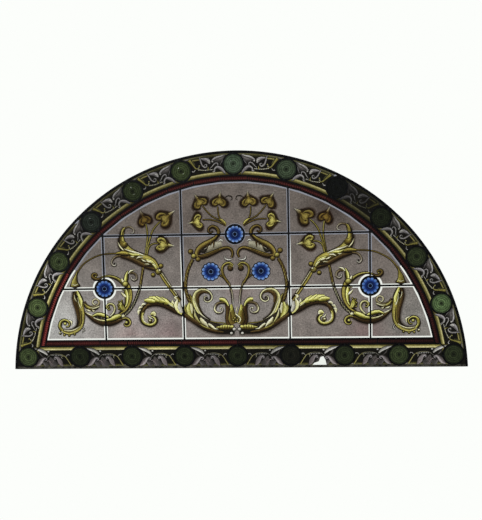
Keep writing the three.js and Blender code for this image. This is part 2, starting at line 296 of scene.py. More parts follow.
class Painting:
    """Painted shapes in the order they are laid, each as triangles with a colour at each corner."""

    SMALLEST_TURN = 1e-3
    SLENDER = 3.4

    def __init__(self) -> None:
        """Starts with bare glass and paints in the window's own plane."""
        self.place: Callable[[np.ndarray], np.ndarray] = lambda p: p
        self.light = LIGHT_FROM
        self.dim = 1.0
        self.step = 4.0
        self.swell = 1.0
        self.matting = Matting()
        self.below: list[tuple[np.ndarray, np.ndarray, np.ndarray]] = []
        self.blocks: list[tuple[np.ndarray, np.ndarray, np.ndarray]] = []

    def reset(self) -> None:
        """Goes back to painting in the window's own plane, in full light."""
        self.place, self.light, self.dim = (lambda p: p), LIGHT_FROM, 1.0
        self.swell = 1.0

    def lay(self, points: np.ndarray, faces: np.ndarray, colours: np.ndarray) -> None:
        """Lays triangles over what is painted so far.

        Args:
            points: places in the painting's own layout.
            faces: three point numbers a row.
            colours: sRGB colours, by triangle and corner.
        """
        p = self.place(np.asarray(points, float))
        a, b, c = (p[faces[:, i]] for i in range(3))
        turn = doubled_area(a, b, c)
        keep = np.abs(turn) > self.SMALLEST_TURN
        faces, colours, turn = faces[keep].copy(), colours[keep].copy(), turn[keep]
        back = turn < 0
        faces[back] = faces[back][:, [0, 2, 1]]
        colours[back] = colours[back][:, [0, 2, 1]]
        self.blocks.append((p, faces, colours * self.dim))

    def grid(self, rows: np.ndarray, colours: np.ndarray, bands: Iterable[tuple[int, int]]) -> None:
        """Lays the bands of a grid of points.

        Args:
            rows: points, by row and station.
            colours: colours, by row, band and side of the band.
            bands: for each band, the stations at its two sides.
        """
        count, stations = rows.shape[:2]
        i = np.arange(count - 1)
        faces, paints = [], []
        for k, (u, v) in enumerate(bands):
            a, b = i * stations + u, i * stations + v
            c, d = b + stations, a + stations
            ca, cb, cc, cd = colours[:-1, k, 0], colours[:-1, k, 1], colours[1:, k, 1], colours[1:, k, 0]
            faces += [np.stack([a, b, c], -1), np.stack([a, c, d], -1)]
            paints += [np.stack([ca, cb, cc], 1), np.stack([ca, cc, cd], 1)]
        self.lay(rows.reshape(-1, 2), np.vstack(faces), np.vstack(paints))

    def ribbon(
        self,
        path: Sequence[Point],
        half_widths: Sequence[float],
        pigment: Pigment = STAIN,
        outline: float = 3.3,
        end: Pigment | None = None,
        lit: float | None = None,
        shadow: float = 0.0,
        lobes: tuple[int, int] = (0, 0),
    ) -> None:
        """Paints a stem or a leaf along a path, modelled as if it were round.

        Args:
            path: points along its middle.
            half_widths: half its widths, spread evenly along the path.
            pigment: its paint at the start.
            outline: width of the dark line round it.
            end: its paint at the end, or None for the same paint.
            lit: 1 to light its left side, -1 its right side, None to light it from above.
            shadow: width of the soft brown shade that it throws on the ground on its dark side.
            lobes: how many lobes its left and its right edge are cut into.
        """
        p = smooth_path(path, self.step)
        if not any(lobes):
            p = sparser(p)
        t = np.concatenate([[0], np.cumsum(np.linalg.norm(np.diff(p, axis=0), axis=1))])
        t /= t[-1]
        heading = np.gradient(p, axis=0)
        heading /= np.maximum(np.linalg.norm(heading, axis=1, keepdims=True), 1e-6)
        across = np.stack([-heading[:, 1], heading[:, 0]], -1)
        widths = []
        for count in lobes:
            w = np.interp(t, np.linspace(0, 1, len(half_widths)), half_widths) * self.swell
            if count:
                w = w * (0.6 + 0.4 * np.abs(np.sin(math.pi * count * (t + 0.5 / count))) ** 0.6)
            widths.append(np.maximum(w, 0.05))
        facing = across @ self.light if lit is None else np.full(len(p), float(lit))
        lines = [outline * (1 + 0.5 * np.clip(-side * facing, 0, 1)) for side in (1, -1)]
        inner = [np.maximum(w - line, 0.35 * w) for w, line in zip(widths, lines)]
        slender = max(w.max() for w in inner) < self.SLENDER
        shares = np.array((-1.0, 0.0, 1.0) if slender else (-1.0, -0.55, 0.0, 0.55, 1.0))
        body = [np.where(s < 0, inner[1], inner[0]) * s for s in shares]
        offsets = np.stack([-widths[1], *body, widths[0]], -1)
        turned = shares[None] * facing[:, None]
        amount = np.interp(turned, (-1, -0.5, 0, 0.5, 1), (0.0, 0.14, 0.5, 1.0, 0.66))
        colours = pigment.lit(amount)
        line = np.broadcast_to(srgb(pigment.line), (len(p), 3))
        if end is not None:
            colours = colours + (end.lit(amount) - colours) * t[:, None, None]
            line = line + (srgb(end.line) - line) * t[:, None]
        sides = [np.stack([line, line], 1)]
        sides += [colours[:, k : k + 2] for k in range(len(shares) - 1)]
        sides += [np.stack([line, line], 1)]
        rows = p[:, None] + across[:, None] * offsets[..., None]
        if shadow:
            self.shade(p, across, widths, facing, shadow)
        self.grid(rows, np.stack(sides, 1), [(k, k + 1) for k in range(len(sides))])

    def shade(
        self, p: np.ndarray, across: np.ndarray, widths: Sequence[np.ndarray], facing: np.ndarray,
        reach: float,
    ) -> None:
        """Lays a soft shade under a stem or leaf, from dark brown at its edges to the tone of the matting.

        Args:
            p: points along its middle.
            across: directions to its left.
            widths: its half widths on the left and on the right.
            facing: how far its left side is lit.
            reach: the shade's width on the dark side.
        """
        for width, side in zip(widths, (1, -1)):
            far = width + reach * (0.35 + 0.65 * np.clip(-side * facing, 0, 1))
            rows = p[:, None] + side * across[:, None] * np.stack([0.8 * width, far], -1)[..., None]
            ground = self.matting.at(self.place(rows[:, 1]))
            self.band(rows, STROKE_SHADE, ground)
            self.below.append(self.blocks.pop())

    def stem(
        self, path: Sequence[Point], start: float, stop: float, pigment: Pigment = STAIN, **more: object
    ) -> None:
        """Paints a stem that tapers from one width to another."""
        self.ribbon(path, (start / 2, stop / 2), pigment, **more)

    def rope(
        self, path: Sequence[Point], width: float, dark: Pigment, light: Pigment, twist: float = 13.0,
    ) -> None:
        """Paints two stems twisted round each other, as slanting light and dark marks along a path.

        Args:
            path: points along its middle.
            width: its full width.
            dark: paint of the marks in shade.
            light: paint of the marks in light.
            twist: length of one mark and its neighbour.
        """
        self.ribbon(path, (width / 2, width / 2), dark, 1.8, shadow=3)
        p = smooth_path(path, twist)
        for a, b in zip(p, p[1:]):
            d = b - a
            n = np.array([-d[1], d[0]]) / max(np.linalg.norm(d), 1e-6) * width * 0.24
            self.ribbon([a - n, (a + b) / 2, b + n], (0.8, width * 0.18, 0.8), light, 0.1)

    def ball(
        self, centre: Point, radius: float, pigment: Pigment = STAIN, outline: float = 2.4, sides: int = 14,
    ) -> None:
        """Paints a round bead, lit from above.

        Args:
            centre: its middle.
            radius: its radius with its outline.
            pigment: its paint.
            outline: width of the dark line round it.
            sides: points round its edge.
        """
        a = np.linspace(0, 2 * math.pi, sides + 1)
        spoke = np.stack([np.cos(a), np.sin(a)], -1)
        radii = np.array([0.0, (radius - outline) * 0.6, radius - outline, radius])
        rows = np.array(centre) + spoke[:, None] * radii[None, :, None]
        facing = spoke @ self.light
        mid = pigment.lit(np.full(sides + 1, 0.7))
        half = pigment.lit(0.5 + 0.45 * facing)
        edge = pigment.lit(0.2 + 0.3 * facing)
        line = np.broadcast_to(srgb(pigment.line), edge.shape)
        sides_of = [np.stack([mid, half], 1), np.stack([half, edge], 1), np.stack([line, line], 1)]
        self.grid(rows, np.stack(sides_of, 1), [(0, 1), (1, 2), (2, 3)])

    def fill(
        self, outline: Sequence[Point], centre: Point, inner: str, outer: str, closed: bool = True,
    ) -> None:
        """Fills a closed outline that its centre sees whole.

        Args:
            outline: points of the outline.
            centre: the point that the fill spreads from.
            inner: colour at the centre.
            outer: colour at the outline.
            closed: True to round the outline off, False to keep its corners.
        """
        if closed:
            p = sparser(smooth_path(outline, self.step, closed=True))
        else:
            p = np.asarray([*outline, outline[0]], float)
        ring = np.arange(len(p) - 1)
        faces = np.stack([np.full(len(ring), len(p)), ring, ring + 1], -1)
        colours = np.stack([np.stack([srgb(inner), srgb(outer), srgb(outer)])] * len(ring))
        self.lay(np.vstack([p, centre]), faces, colours)

    def spot(self, centre: Point, radius: float, sides: int, inner: str, outer: str) -> None:
        """Paints a small flat disc, from one colour at its middle to another at its edge."""
        self.fill(disc(centre, radius, sides), centre, inner, outer, closed=False)

    def band(self, rows: np.ndarray, first: str | np.ndarray, second: str | np.ndarray) -> None:
        """Fills the strip between two lines of as many points each.

        Args:
            rows: points, by place along the strip and side.
            first: hex code, or sRGB colours by place, along the first line.
            second: the same along the second line.
        """
        codes = (srgb(c) if isinstance(c, str) else c for c in (first, second))
        one, two = (np.broadcast_to(c, (len(rows), 3)) for c in codes)
        self.grid(np.asarray(rows, float), np.stack([np.stack([one, two], 1)], 1), [(0, 1)])

    def bud(self, base: Point, tip: Point, pigment: Pigment = STAIN, width: float = 0.62) -> None:
        """Paints a heart-shaped bud with two rolled lobes and a drawn-out tip.

        Args:
            base: the notch where its stem ends.
            tip: the end of its tip.
            pigment: its paint.
            width: half its width, as a share of its length.
        """
        a, b = np.array(base, float), np.array(tip, float)
        along = b - a
        size = np.linalg.norm(along) * 0.74
        u = along / np.linalg.norm(along)
        v = np.array([-u[1], u[0]])

        def at(points: Iterable[Point]) -> list[Point]:
            """Places points given along and across the bud, as shares of its size."""
            return [tuple(a + u * x * size + v * y * size) for x, y in points]

        w = width
        side = [
            (0.06, 0.0), (-0.14, 0.34 * w), (-0.12, 0.8 * w), (0.14, 1.08 * w), (0.48, 0.98 * w),
            (0.78, 0.5 * w), (0.98, 0.14 * w),
        ]
        edge = side + [(1.2, 0.0)] + [(x, -y) for x, y in reversed(side[1:])]
        rim = smooth_path(at(edge), self.step, closed=True)
        away = (rim - at([(0.4, 0)])[0]) * 1.24 + at([(0.4, 0)])[0]
        ground = self.matting.at(self.place(away))
        self.band(np.stack([rim, away], 1), BUD_SHADE, ground)
        self.below.append(self.blocks.pop())
        self.fill(at(edge), at([(0.4, 0)])[0], BUD_LINE, BUD_LINE)
        for grow, inner, outer in ((0.88, pigment.body, pigment.shade), (0.55, pigment.light, pigment.body)):
            ring = [(0.36 + (x - 0.36) * grow, y * grow) for x, y in edge]
            self.fill(at(ring), at([(0.34, 0)])[0], inner, outer)
        for s in (1, -1):
            roll = [
                (0.62, 0.1 * w * s), (0.5, 0.5 * w * s), (0.2, 0.7 * w * s), (0.0, 0.5 * w * s),
                (0.1, 0.22 * w * s), (0.24, 0.34 * w * s),
            ]
            self.ribbon(at(roll), (0.01 * size, 0.13 * size, 0.13 * size, 0.05 * size), pigment, 1.8)
        self.ribbon(
            at([(0.8, 0), (1.05, 0), (1.35, 0)]), (0.15 * size, 0.1 * size, 0.4), pigment, 1.8, SILVER,
        )

    def flower(
        self, centre: Point, radius: float, petals: int = 11, turn: float = 0.0, pale: str = "87a6da",
    ) -> None:
        """Paints a blue flower: scalloped pale petals round a dark eye with a fine light ring.

        Args:
            centre: its middle.
            radius: its radius with its dark outline.
            petals: how many petals it has.
            turn: how far it is turned, in degrees.
            pale: the petals' lightest blue.
        """
        c = np.array(centre, float)
        sides = petals * 6
        a = np.linspace(0, 2 * math.pi, sides + 1)
        wave = np.abs(np.sin(petals * a / 2 + math.radians(turn)))
        spoke = np.stack([np.cos(a), np.sin(a)], -1)
        edge = radius * (0.8 + 0.1 * wave)
        stations = [
            0 * a + 0.01, 0 * a + 0.2 * radius, 0 * a + 0.25 * radius, 0 * a + 0.31 * radius,
            0 * a + 0.52 * radius,
        ]
        stations += [0.62 * radius - 2 * wave, 0.78 * edge, edge, radius * (0.92 + 0.08 * wave)]
        rows = c + spoke[:, None] * np.stack(stations, -1)[..., None]
        gap = np.clip(1.1 - wave * 2.1, 0, 1)[:, None]
        deep, ring, eye = (np.broadcast_to(srgb(h), (len(a), 3)) for h in ("0b173c", "5a76a8", "060b1c"))
        mid = srgb("12265c") + 0 * gap
        petal = srgb("3f66ac") * (1 - gap) + srgb("0c1838") * gap
        pale = srgb(pale) * (1 - gap) + srgb("0c1634") * gap
        line = np.broadcast_to(srgb(BLUE.line), (len(a), 3))
        inside = [
            (eye, eye), (ring, ring), (eye, deep), (deep, mid), (mid, mid * 1.3), (mid * 1.3, petal),
            (petal, pale), (line, line),
        ]
        colours = np.stack([np.stack(pair, 1) for pair in inside], 1)
        self.grid(rows, np.clip(colours, 0, 1), [(k, k + 1) for k in range(8)])

    def finished(self) -> "PaintedShapes":
        """All that is laid, joined in painting order, the soft shades first.

        Returns:
            The painting over the whole window.
        """
        blocks = self.below + self.blocks
        offsets = np.cumsum([0] + [len(b[0]) for b in blocks])
        points = np.vstack([b[0] for b in blocks])
        faces = np.vstack([b[1] + o for b, o in zip(blocks, offsets)])
        return PaintedShapes(
            points, faces, np.vstack([b[2] for b in blocks]), sum(len(b[1]) for b in self.below),
        )


def counted(counts: np.ndarray) -> tuple[np.ndarray, np.ndarray]:
    """Numbers each owner as often as its count says, and counts from 0 within each."""
    owner = np.repeat(np.arange(len(counts)), counts)
    return owner, np.arange(len(owner)) - np.repeat(np.cumsum(counts) - counts, counts)


class PaintedShapes:
    """A finished painting, which panes take their part of."""

    def __init__(self, points: np.ndarray, faces: np.ndarray, colours: np.ndarray, shades: int) -> None:
        """Keeps the triangles with their boxes and their colours as flat gradients.

        Args:
            points: places in the window's plane.
            faces: three point numbers a row, in painting order.
            colours: sRGB colours, by triangle and corner.
            shades: how many of the first triangles are soft shades, which lie on matting alone.
        """
        self.points, self.faces, self.colours, self.shades = points, faces, colours, shades
        corners = points[faces]
        self.low, self.high = corners.min(1), corners.max(1)

    def within(self, low: np.ndarray, high: np.ndarray) -> np.ndarray:
        """The numbers of the triangles that may touch a box."""
        return np.nonzero((self.low < high).all(1) & (self.high > low).all(1))[0]

    def topmost(self, ids: np.ndarray, places: np.ndarray, cell: float = 6.0) -> np.ndarray:
        """Finds the triangle painted last over each place.

        Args:
            ids: the triangles to choose from.
            places: the places.
            cell: size of the squares that the search sorts them into.

        Returns:
            The triangles' numbers, or the mark of a matted face.
        """
        origin = places.min(0)
        key = ((places - origin) // cell).astype(int)
        last = key.max(0)
        flat = key[:, 0] * (last[1] + 1) + key[:, 1]
        order = np.argsort(flat, kind="stable")
        starts = np.searchsorted(flat[order], np.arange((last + 1).prod() + 1))
        low, high = (np.clip((b[ids] - origin) // cell, 0, last).astype(int) for b in (self.low, self.high))
        span = high - low + 1
        owner, step = counted(span.prod(1))
        row = low[owner, 0] + step // span[owner, 1]
        square = row * (last[1] + 1) + low[owner, 1] + step % span[owner, 1]
        pair, offset = counted(starts[square + 1] - starts[square])
        spot, owner = order[starts[square][pair] + offset], owner[pair]
        a, b, c = (self.points[self.faces[ids[owner], i]] for i in range(3))
        p = places[spot]
        hit = np.all(
            [
                (v[:, 0] - u[:, 0]) * (p[:, 1] - u[:, 1]) >= (v[:, 1] - u[:, 1]) * (p[:, 0] - u[:, 0])
                for u, v in ((a, b), (b, c), (c, a))
            ],
            axis=0,
        )
        tops = np.full(len(places), MATTED_FACE)
        np.maximum.at(tops, spot[hit], ids[owner[hit]])
        return tops

    def colour_at(self, ids: np.ndarray, places: np.ndarray) -> np.ndarray:
        """The colours of some triangles at some places, held within their own corners' colours.

        Args:
            ids: a triangle for each place.
            places: the places.

        Returns:
            sRGB colours, one row a place.
        """
        a, b, c = (self.points[self.faces[ids, i]] for i in range(3))
        area = doubled_area(a, b, c)
        v, w = doubled_area(a, places, c) / area, doubled_area(a, b, places) / area
        k = self.colours[ids]
        mixed = k[:, 0] + (k[:, 1] - k[:, 0]) * v[:, None] + (k[:, 2] - k[:, 0]) * w[:, None]
        return np.clip(mixed, k.min(1), k.max(1))


# Glass


class Ground(Enum):
    """What bare glass shows where no shape is painted."""

    MATTED = 1
    BLACK = 2
    RUBY = 3
    BLUE = 4


@dataclass(frozen=True)
class Wash:
    """A broad soft change in the matting's tone round a place."""

    centre: Point
    reach: float
    colour: str
    strength: float


@dataclass
class Matting:
    """The brushed grey-brown paint over the field, paler and pinker in places, with a painted shadow at its
    upper right.
    """

    tone: str = "6f6661"
    washes: tuple[Wash, ...] = (
        Wash((-790, 200), 210, "bfbebc", 0.95),
        Wash((-450, 185), 230, "aca5a3", 0.85),
        Wash((-60, 250), 330, "827a76", 0.6),
        Wash((-100, 275), 120, "a09c9b", 0.85),
        Wash((110, 275), 120, "908a87", 0.7),
        Wash((430, 200), 260, "8b827e", 0.75),
        Wash((800, 210), 170, "8a8783", 0.8),
        Wash((-560, 480), 150, "77706b", 0.5),
        Wash((300, 760), 200, "6d6560", 0.5),
        # painted shadow: the dark patch at the upper right, by the ninth arch roundel
        Wash((410, 715), 100, "453c37", 0.8),
        Wash((-470, 140), 60, "a08582", 0.6),
        Wash((-290, 620), 110, "5d524b", 0.6),
        Wash((-310, 500), 90, "7d7774", 0.6),
        Wash((-300, 150), 70, "83686a", 0.5),
        Wash((560, 150), 70, "7d5f60", 0.5),
        Wash((10, 345), 60, "8b7672", 0.5),
    )

    def at(self, places: np.ndarray) -> np.ndarray:
        """The matting's sRGB colours at some places.

        Args:
            places: points in the window's plane, in millimetres.

        Returns:
            The colours, one row a place.
        """
        colour = np.broadcast_to(srgb(self.tone), (len(places), 3)).copy()
        for wash in self.washes:
            away = np.linalg.norm(places - wash.centre, axis=1) / wash.reach
            share = (wash.strength * np.exp(-(away**2)))[:, None]
            colour += (srgb(wash.colour) - colour) * share
        return colour


@dataclass
class Pane:
    """One flat piece of painted glass.

    It is what lies inside all of its inner outlines and outside all of its outer ones. The same holds
    for the part of it that is matted, and the rest of it stays clear.
    """

    node: str
    slot: str
    inner: list[list[Point]]
    outer: list[list[Point]] = field(default_factory=list)
    matted: list[list[Point]] = field(default_factory=list)
    bare: list[list[Point]] = field(default_factory=list)
    worn: list[list[Point]] = field(default_factory=list)
    ground: Ground = Ground.MATTED
    thickness: float = 3.0
    pitch: float = 45.0
    # bare margins above this height take the darker blue-grey clear glass
    darker_upper_height: float = 440.0
    edge_colour: str = "3a4038"
    closest: float = 1e-4

    def build(self, shapes: PaintedShapes, matting: Matting, finishes: "Finishes") -> bpy.types.Object:
        """Makes the pane as a closed slab, its faces divided along every painted edge.

        Args:
            shapes: the painting over the whole window.
            matting: the tone of the matted ground.
            finishes: the materials.

        Returns:
            The finished piece.
        """
        outlines = [*self.inner, *self.outer, *self.matted, *self.bare, *self.worn]
        boxes = [(np.min(o, axis=0), np.max(o, axis=0)) for o in self.inner]
        low, high = np.max([b[0] for b in boxes], axis=0), np.min([b[1] for b in boxes], axis=0)
        ids = shapes.within(low, high)
        used, corners = np.unique(shapes.faces[ids], return_inverse=True)
        corners = corners.reshape(-1, 3)
        grid_x, grid_z = (np.arange(l + self.pitch / 2, h, self.pitch) for l, h in zip(low, high))
        loose = [(x, z) for x in grid_x for z in grid_z]
        starts = np.cumsum([len(loose)] + [len(o) for o in outlines])
        loops = [
            np.stack([np.arange(a, b), np.roll(np.arange(a, b), -1)], -1) for a, b in zip(starts, starts[1:])
        ]
        sides = np.vstack([corners[:, [0, 1]], corners[:, [1, 2]], corners[:, [2, 0]]]) + starts[-1]
        edges = np.unique(np.sort(np.vstack([*loops, sides]), axis=1), axis=0)
        coords = np.vstack([loose, *outlines, shapes.points[used]])
        out = delaunay_2d_cdt(
            [Vector(c) for c in coords.tolist()], edges.tolist(), [], 0, self.closest, False,
        )
        places = np.array([tuple(v) for v in out[0]])
        faces = np.array(out[2])
        middles = places[faces].mean(1)
        keep = np.all([inside(middles, o) for o in self.inner], axis=0)
        keep &= ~np.any([inside(middles, o) for o in self.outer] or [~keep], axis=0)
        faces, middles = faces[keep], middles[keep]
        tops = shapes.topmost(ids, middles)
        if self.ground is Ground.MATTED:
            matted = np.all([inside(middles, o) for o in self.matted], axis=0)
            for outline in self.bare:
                matted &= ~inside(middles, outline)
            tops[(tops < shapes.shades) & ~matted] = CLEAR_FACE
        for outline in self.worn:
            tops[inside(middles, outline)] = CLEAR_FACE
        return self.slab(places, faces, tops, shapes, matting, finishes)

    def bare_colour(self, places: np.ndarray, matting: Matting) -> np.ndarray:
        """The colours of the ground where nothing is painted over it.

        Args:
            places: the places.
            matting: the tone of the matted ground.

        Returns:
            sRGB colours, one row a place.
        """
        if self.ground is Ground.MATTED:
            return matting.at(places)
        code = {Ground.BLACK: "100e0a", Ground.RUBY: "3a1414", Ground.BLUE: "0d1c44"}[self.ground]
        return np.broadcast_to(srgb(code), (len(places), 3))

    def slab(
        self,
        places: np.ndarray,
        faces: np.ndarray,
        tops: np.ndarray,
        shapes: PaintedShapes,
        matting: Matting,
        finishes: "Finishes",
    ) -> bpy.types.Object:
        """Turns the divided outline into a slab with paint on both faces.

        Args:
            places: points in the window's plane, in millimetres.
            faces: three point numbers a row, counter-clockwise.
            tops: for each face, the painted triangle on top, or the mark of matted or clear glass.
            shapes: the painting.
            matting: the tone of the matted ground.
            finishes: the materials.

        Returns:
            The finished piece.
        """
        used, faces = np.unique(faces, return_inverse=True)
        places, loops, tops = joined(places[used], faces.reshape(-1, 3), tops)
        count = len(places)
        sizes = np.array([len(loop) for loop in loops])
        ring = np.concatenate(loops)
        flat = places[ring]
        colours = self.bare_colour(flat, matting).copy()
        shown = np.repeat(tops, sizes)
        painted = shown >= 0
        if painted.any():
            colours[painted] = shapes.colour_at(shown[painted], flat[painted])
        owners = {(a, b) for loop in loops for a, b in zip(loop, loop[1:] + loop[:1])}
        rim = np.array([(a, b) for a, b in owners if (b, a) not in owners])
        half = self.thickness / 2
        front = np.column_stack([places[:, 0], np.full(count, -half), places[:, 1]])
        back = front * (1, -1, 1)
        wall = np.column_stack([rim[:, 1], rim[:, 0], rim[:, 0] + count, rim[:, 1] + count])
        polygons = loops + [[i + count for i in loop[::-1]] for loop in loops] + wall.tolist()
        mesh = bpy.data.meshes.new(self.node + "_glass")
        mesh.from_pydata((np.vstack([front, back]) * MM).tolist(), [], polygons)
        paint = mesh.color_attributes.new("paint", "FLOAT_COLOR", "CORNER")
        ends = np.cumsum(sizes)
        first = np.repeat(ends - sizes, sizes)
        backward = colours[first + np.repeat(ends, sizes) - 1 - np.arange(len(ring))]
        edge_colour = np.broadcast_to(srgb(self.edge_colour), (len(wall) * 4, 3))
        every = linear(np.vstack([colours, backward, edge_colour]))
        every = np.column_stack([every, np.ones(len(every))])
        paint.data.foreach_set("color", every.ravel())
        clear = tops == CLEAR_FACE
        # clear faces high in the window take the darker blue-grey clear glass
        high = np.array([places[loop, 1].mean() for loop in loops]) > self.darker_upper_height
        slots = np.where(clear, np.where(high, 2, 1), 0)
        material_index = np.concatenate([slots, slots, np.zeros(len(wall), int)])
        mesh.polygons.foreach_set("material_index", material_index.astype(np.int32))
        for material in (finishes.painted(self.ground), finishes.clear, finishes.darker_upper_glass):
            mesh.materials.append(material)
        mesh.update()
        return add_piece(mesh, self.node + "_glass", [self.node])


def joined(
    places: np.ndarray, faces: np.ndarray, tops: np.ndarray, bend: float = 0.3,
) -> tuple[np.ndarray, list[list[int]], np.ndarray]:
    """Joins neighbouring faces that show the same painted triangle, for fewer faces and the same look.

    Args:
        places: points in the window's plane.
        faces: three point numbers a row.
        tops: for each face, the painted triangle on top, or a mark where there is none.
        bend: the most that an outline may turn where a point is left out, in degrees.

    Returns:
        The points left, the point numbers of each face and the painted triangle on it.
    """
    bm = bmesh.new()
    points = [bm.verts.new((x, z, 0.0)) for x, z in places.tolist()]
    shown = bm.faces.layers.int.new("shown")
    for corners, top in zip(faces.tolist(), tops.tolist()):
        bm.faces.new([points[i] for i in corners])[shown] = top
    bm.normal_update()
    for edge in bm.edges:
        beside = {face[shown] for face in edge.link_faces}
        edge.seam = len(beside) > 1 or min(beside) < 0
    bmesh.ops.dissolve_limit(
        bm, angle_limit=math.radians(bend), use_dissolve_boundaries=False, verts=bm.verts[:],
        edges=bm.edges[:],
        delimit={"SEAM"},
    )
    bm.verts.index_update()
    left = np.array([(v.co.x, v.co.y) for v in bm.verts])
    loops = [[v.index for v in face.verts] for face in bm.faces]
    kept = np.array([face[shown] for face in bm.faces])
    bm.free()
    return left, loops, kept


def inside(places: np.ndarray, outline: Sequence[Point]) -> np.ndarray:
    """Which places lie inside a closed outline.

    Args:
        places: the places to test.
        outline: the outline's points.

    Returns:
        True or False for each place.
    """
    p = np.asarray(outline, float)
    hit = np.zeros(len(places), bool)
    for (x0, z0), (x1, z1) in zip(p, np.roll(p, -1, axis=0)):
        if z0 != z1:
            between = (z0 > places[:, 1]) != (z1 > places[:, 1])
            hit ^= between & (places[:, 0] < x0 + (x1 - x0) * (places[:, 1] - z0) / (z1 - z0))
    return hit


def add_piece(mesh: bpy.types.Mesh, name: str, stands_for: Sequence[str]) -> bpy.types.Object:
    """Adds a finished mesh to the scene under the body's empty, and hides the CAD nodes that it stands for.

    Args:
        mesh: the mesh, already in place.
        name: the piece's name.
        stands_for: the CAD nodes that it replaces.

    Returns:
        The new object.
    """
    piece = bpy.data.objects.new(name, mesh)
    bpy.context.scene.collection.objects.link(piece)
    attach(piece, BODY)
    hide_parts(*stands_for)
    LOG.info("%s: %d faces", name, len(mesh.polygons))
    return piece


# Finishes


def add_node(
    tree: bpy.types.NodeTree, kind: str, inputs: dict | None = None, **settings: object
) -> bpy.types.Node:
    """Adds a node with its settings and its inputs.

    Args:
        tree: the node tree.
        kind: the node's type.
        inputs: by input name or number, values, sockets to link from or nodes that give their first socket.
        **settings: properties by name.

    Returns:
        The new node.
    """
    node = tree.nodes.new(kind)
    for key, value in settings.items():
        setattr(node, key, value)
    for key, value in (inputs or {}).items():
        value = value.outputs[0] if isinstance(value, bpy.types.Node) else value
        if isinstance(value, bpy.types.NodeSocket):
            tree.links.new(value, node.inputs[key])
        else:
            node.inputs[key].default_value = value
    return node


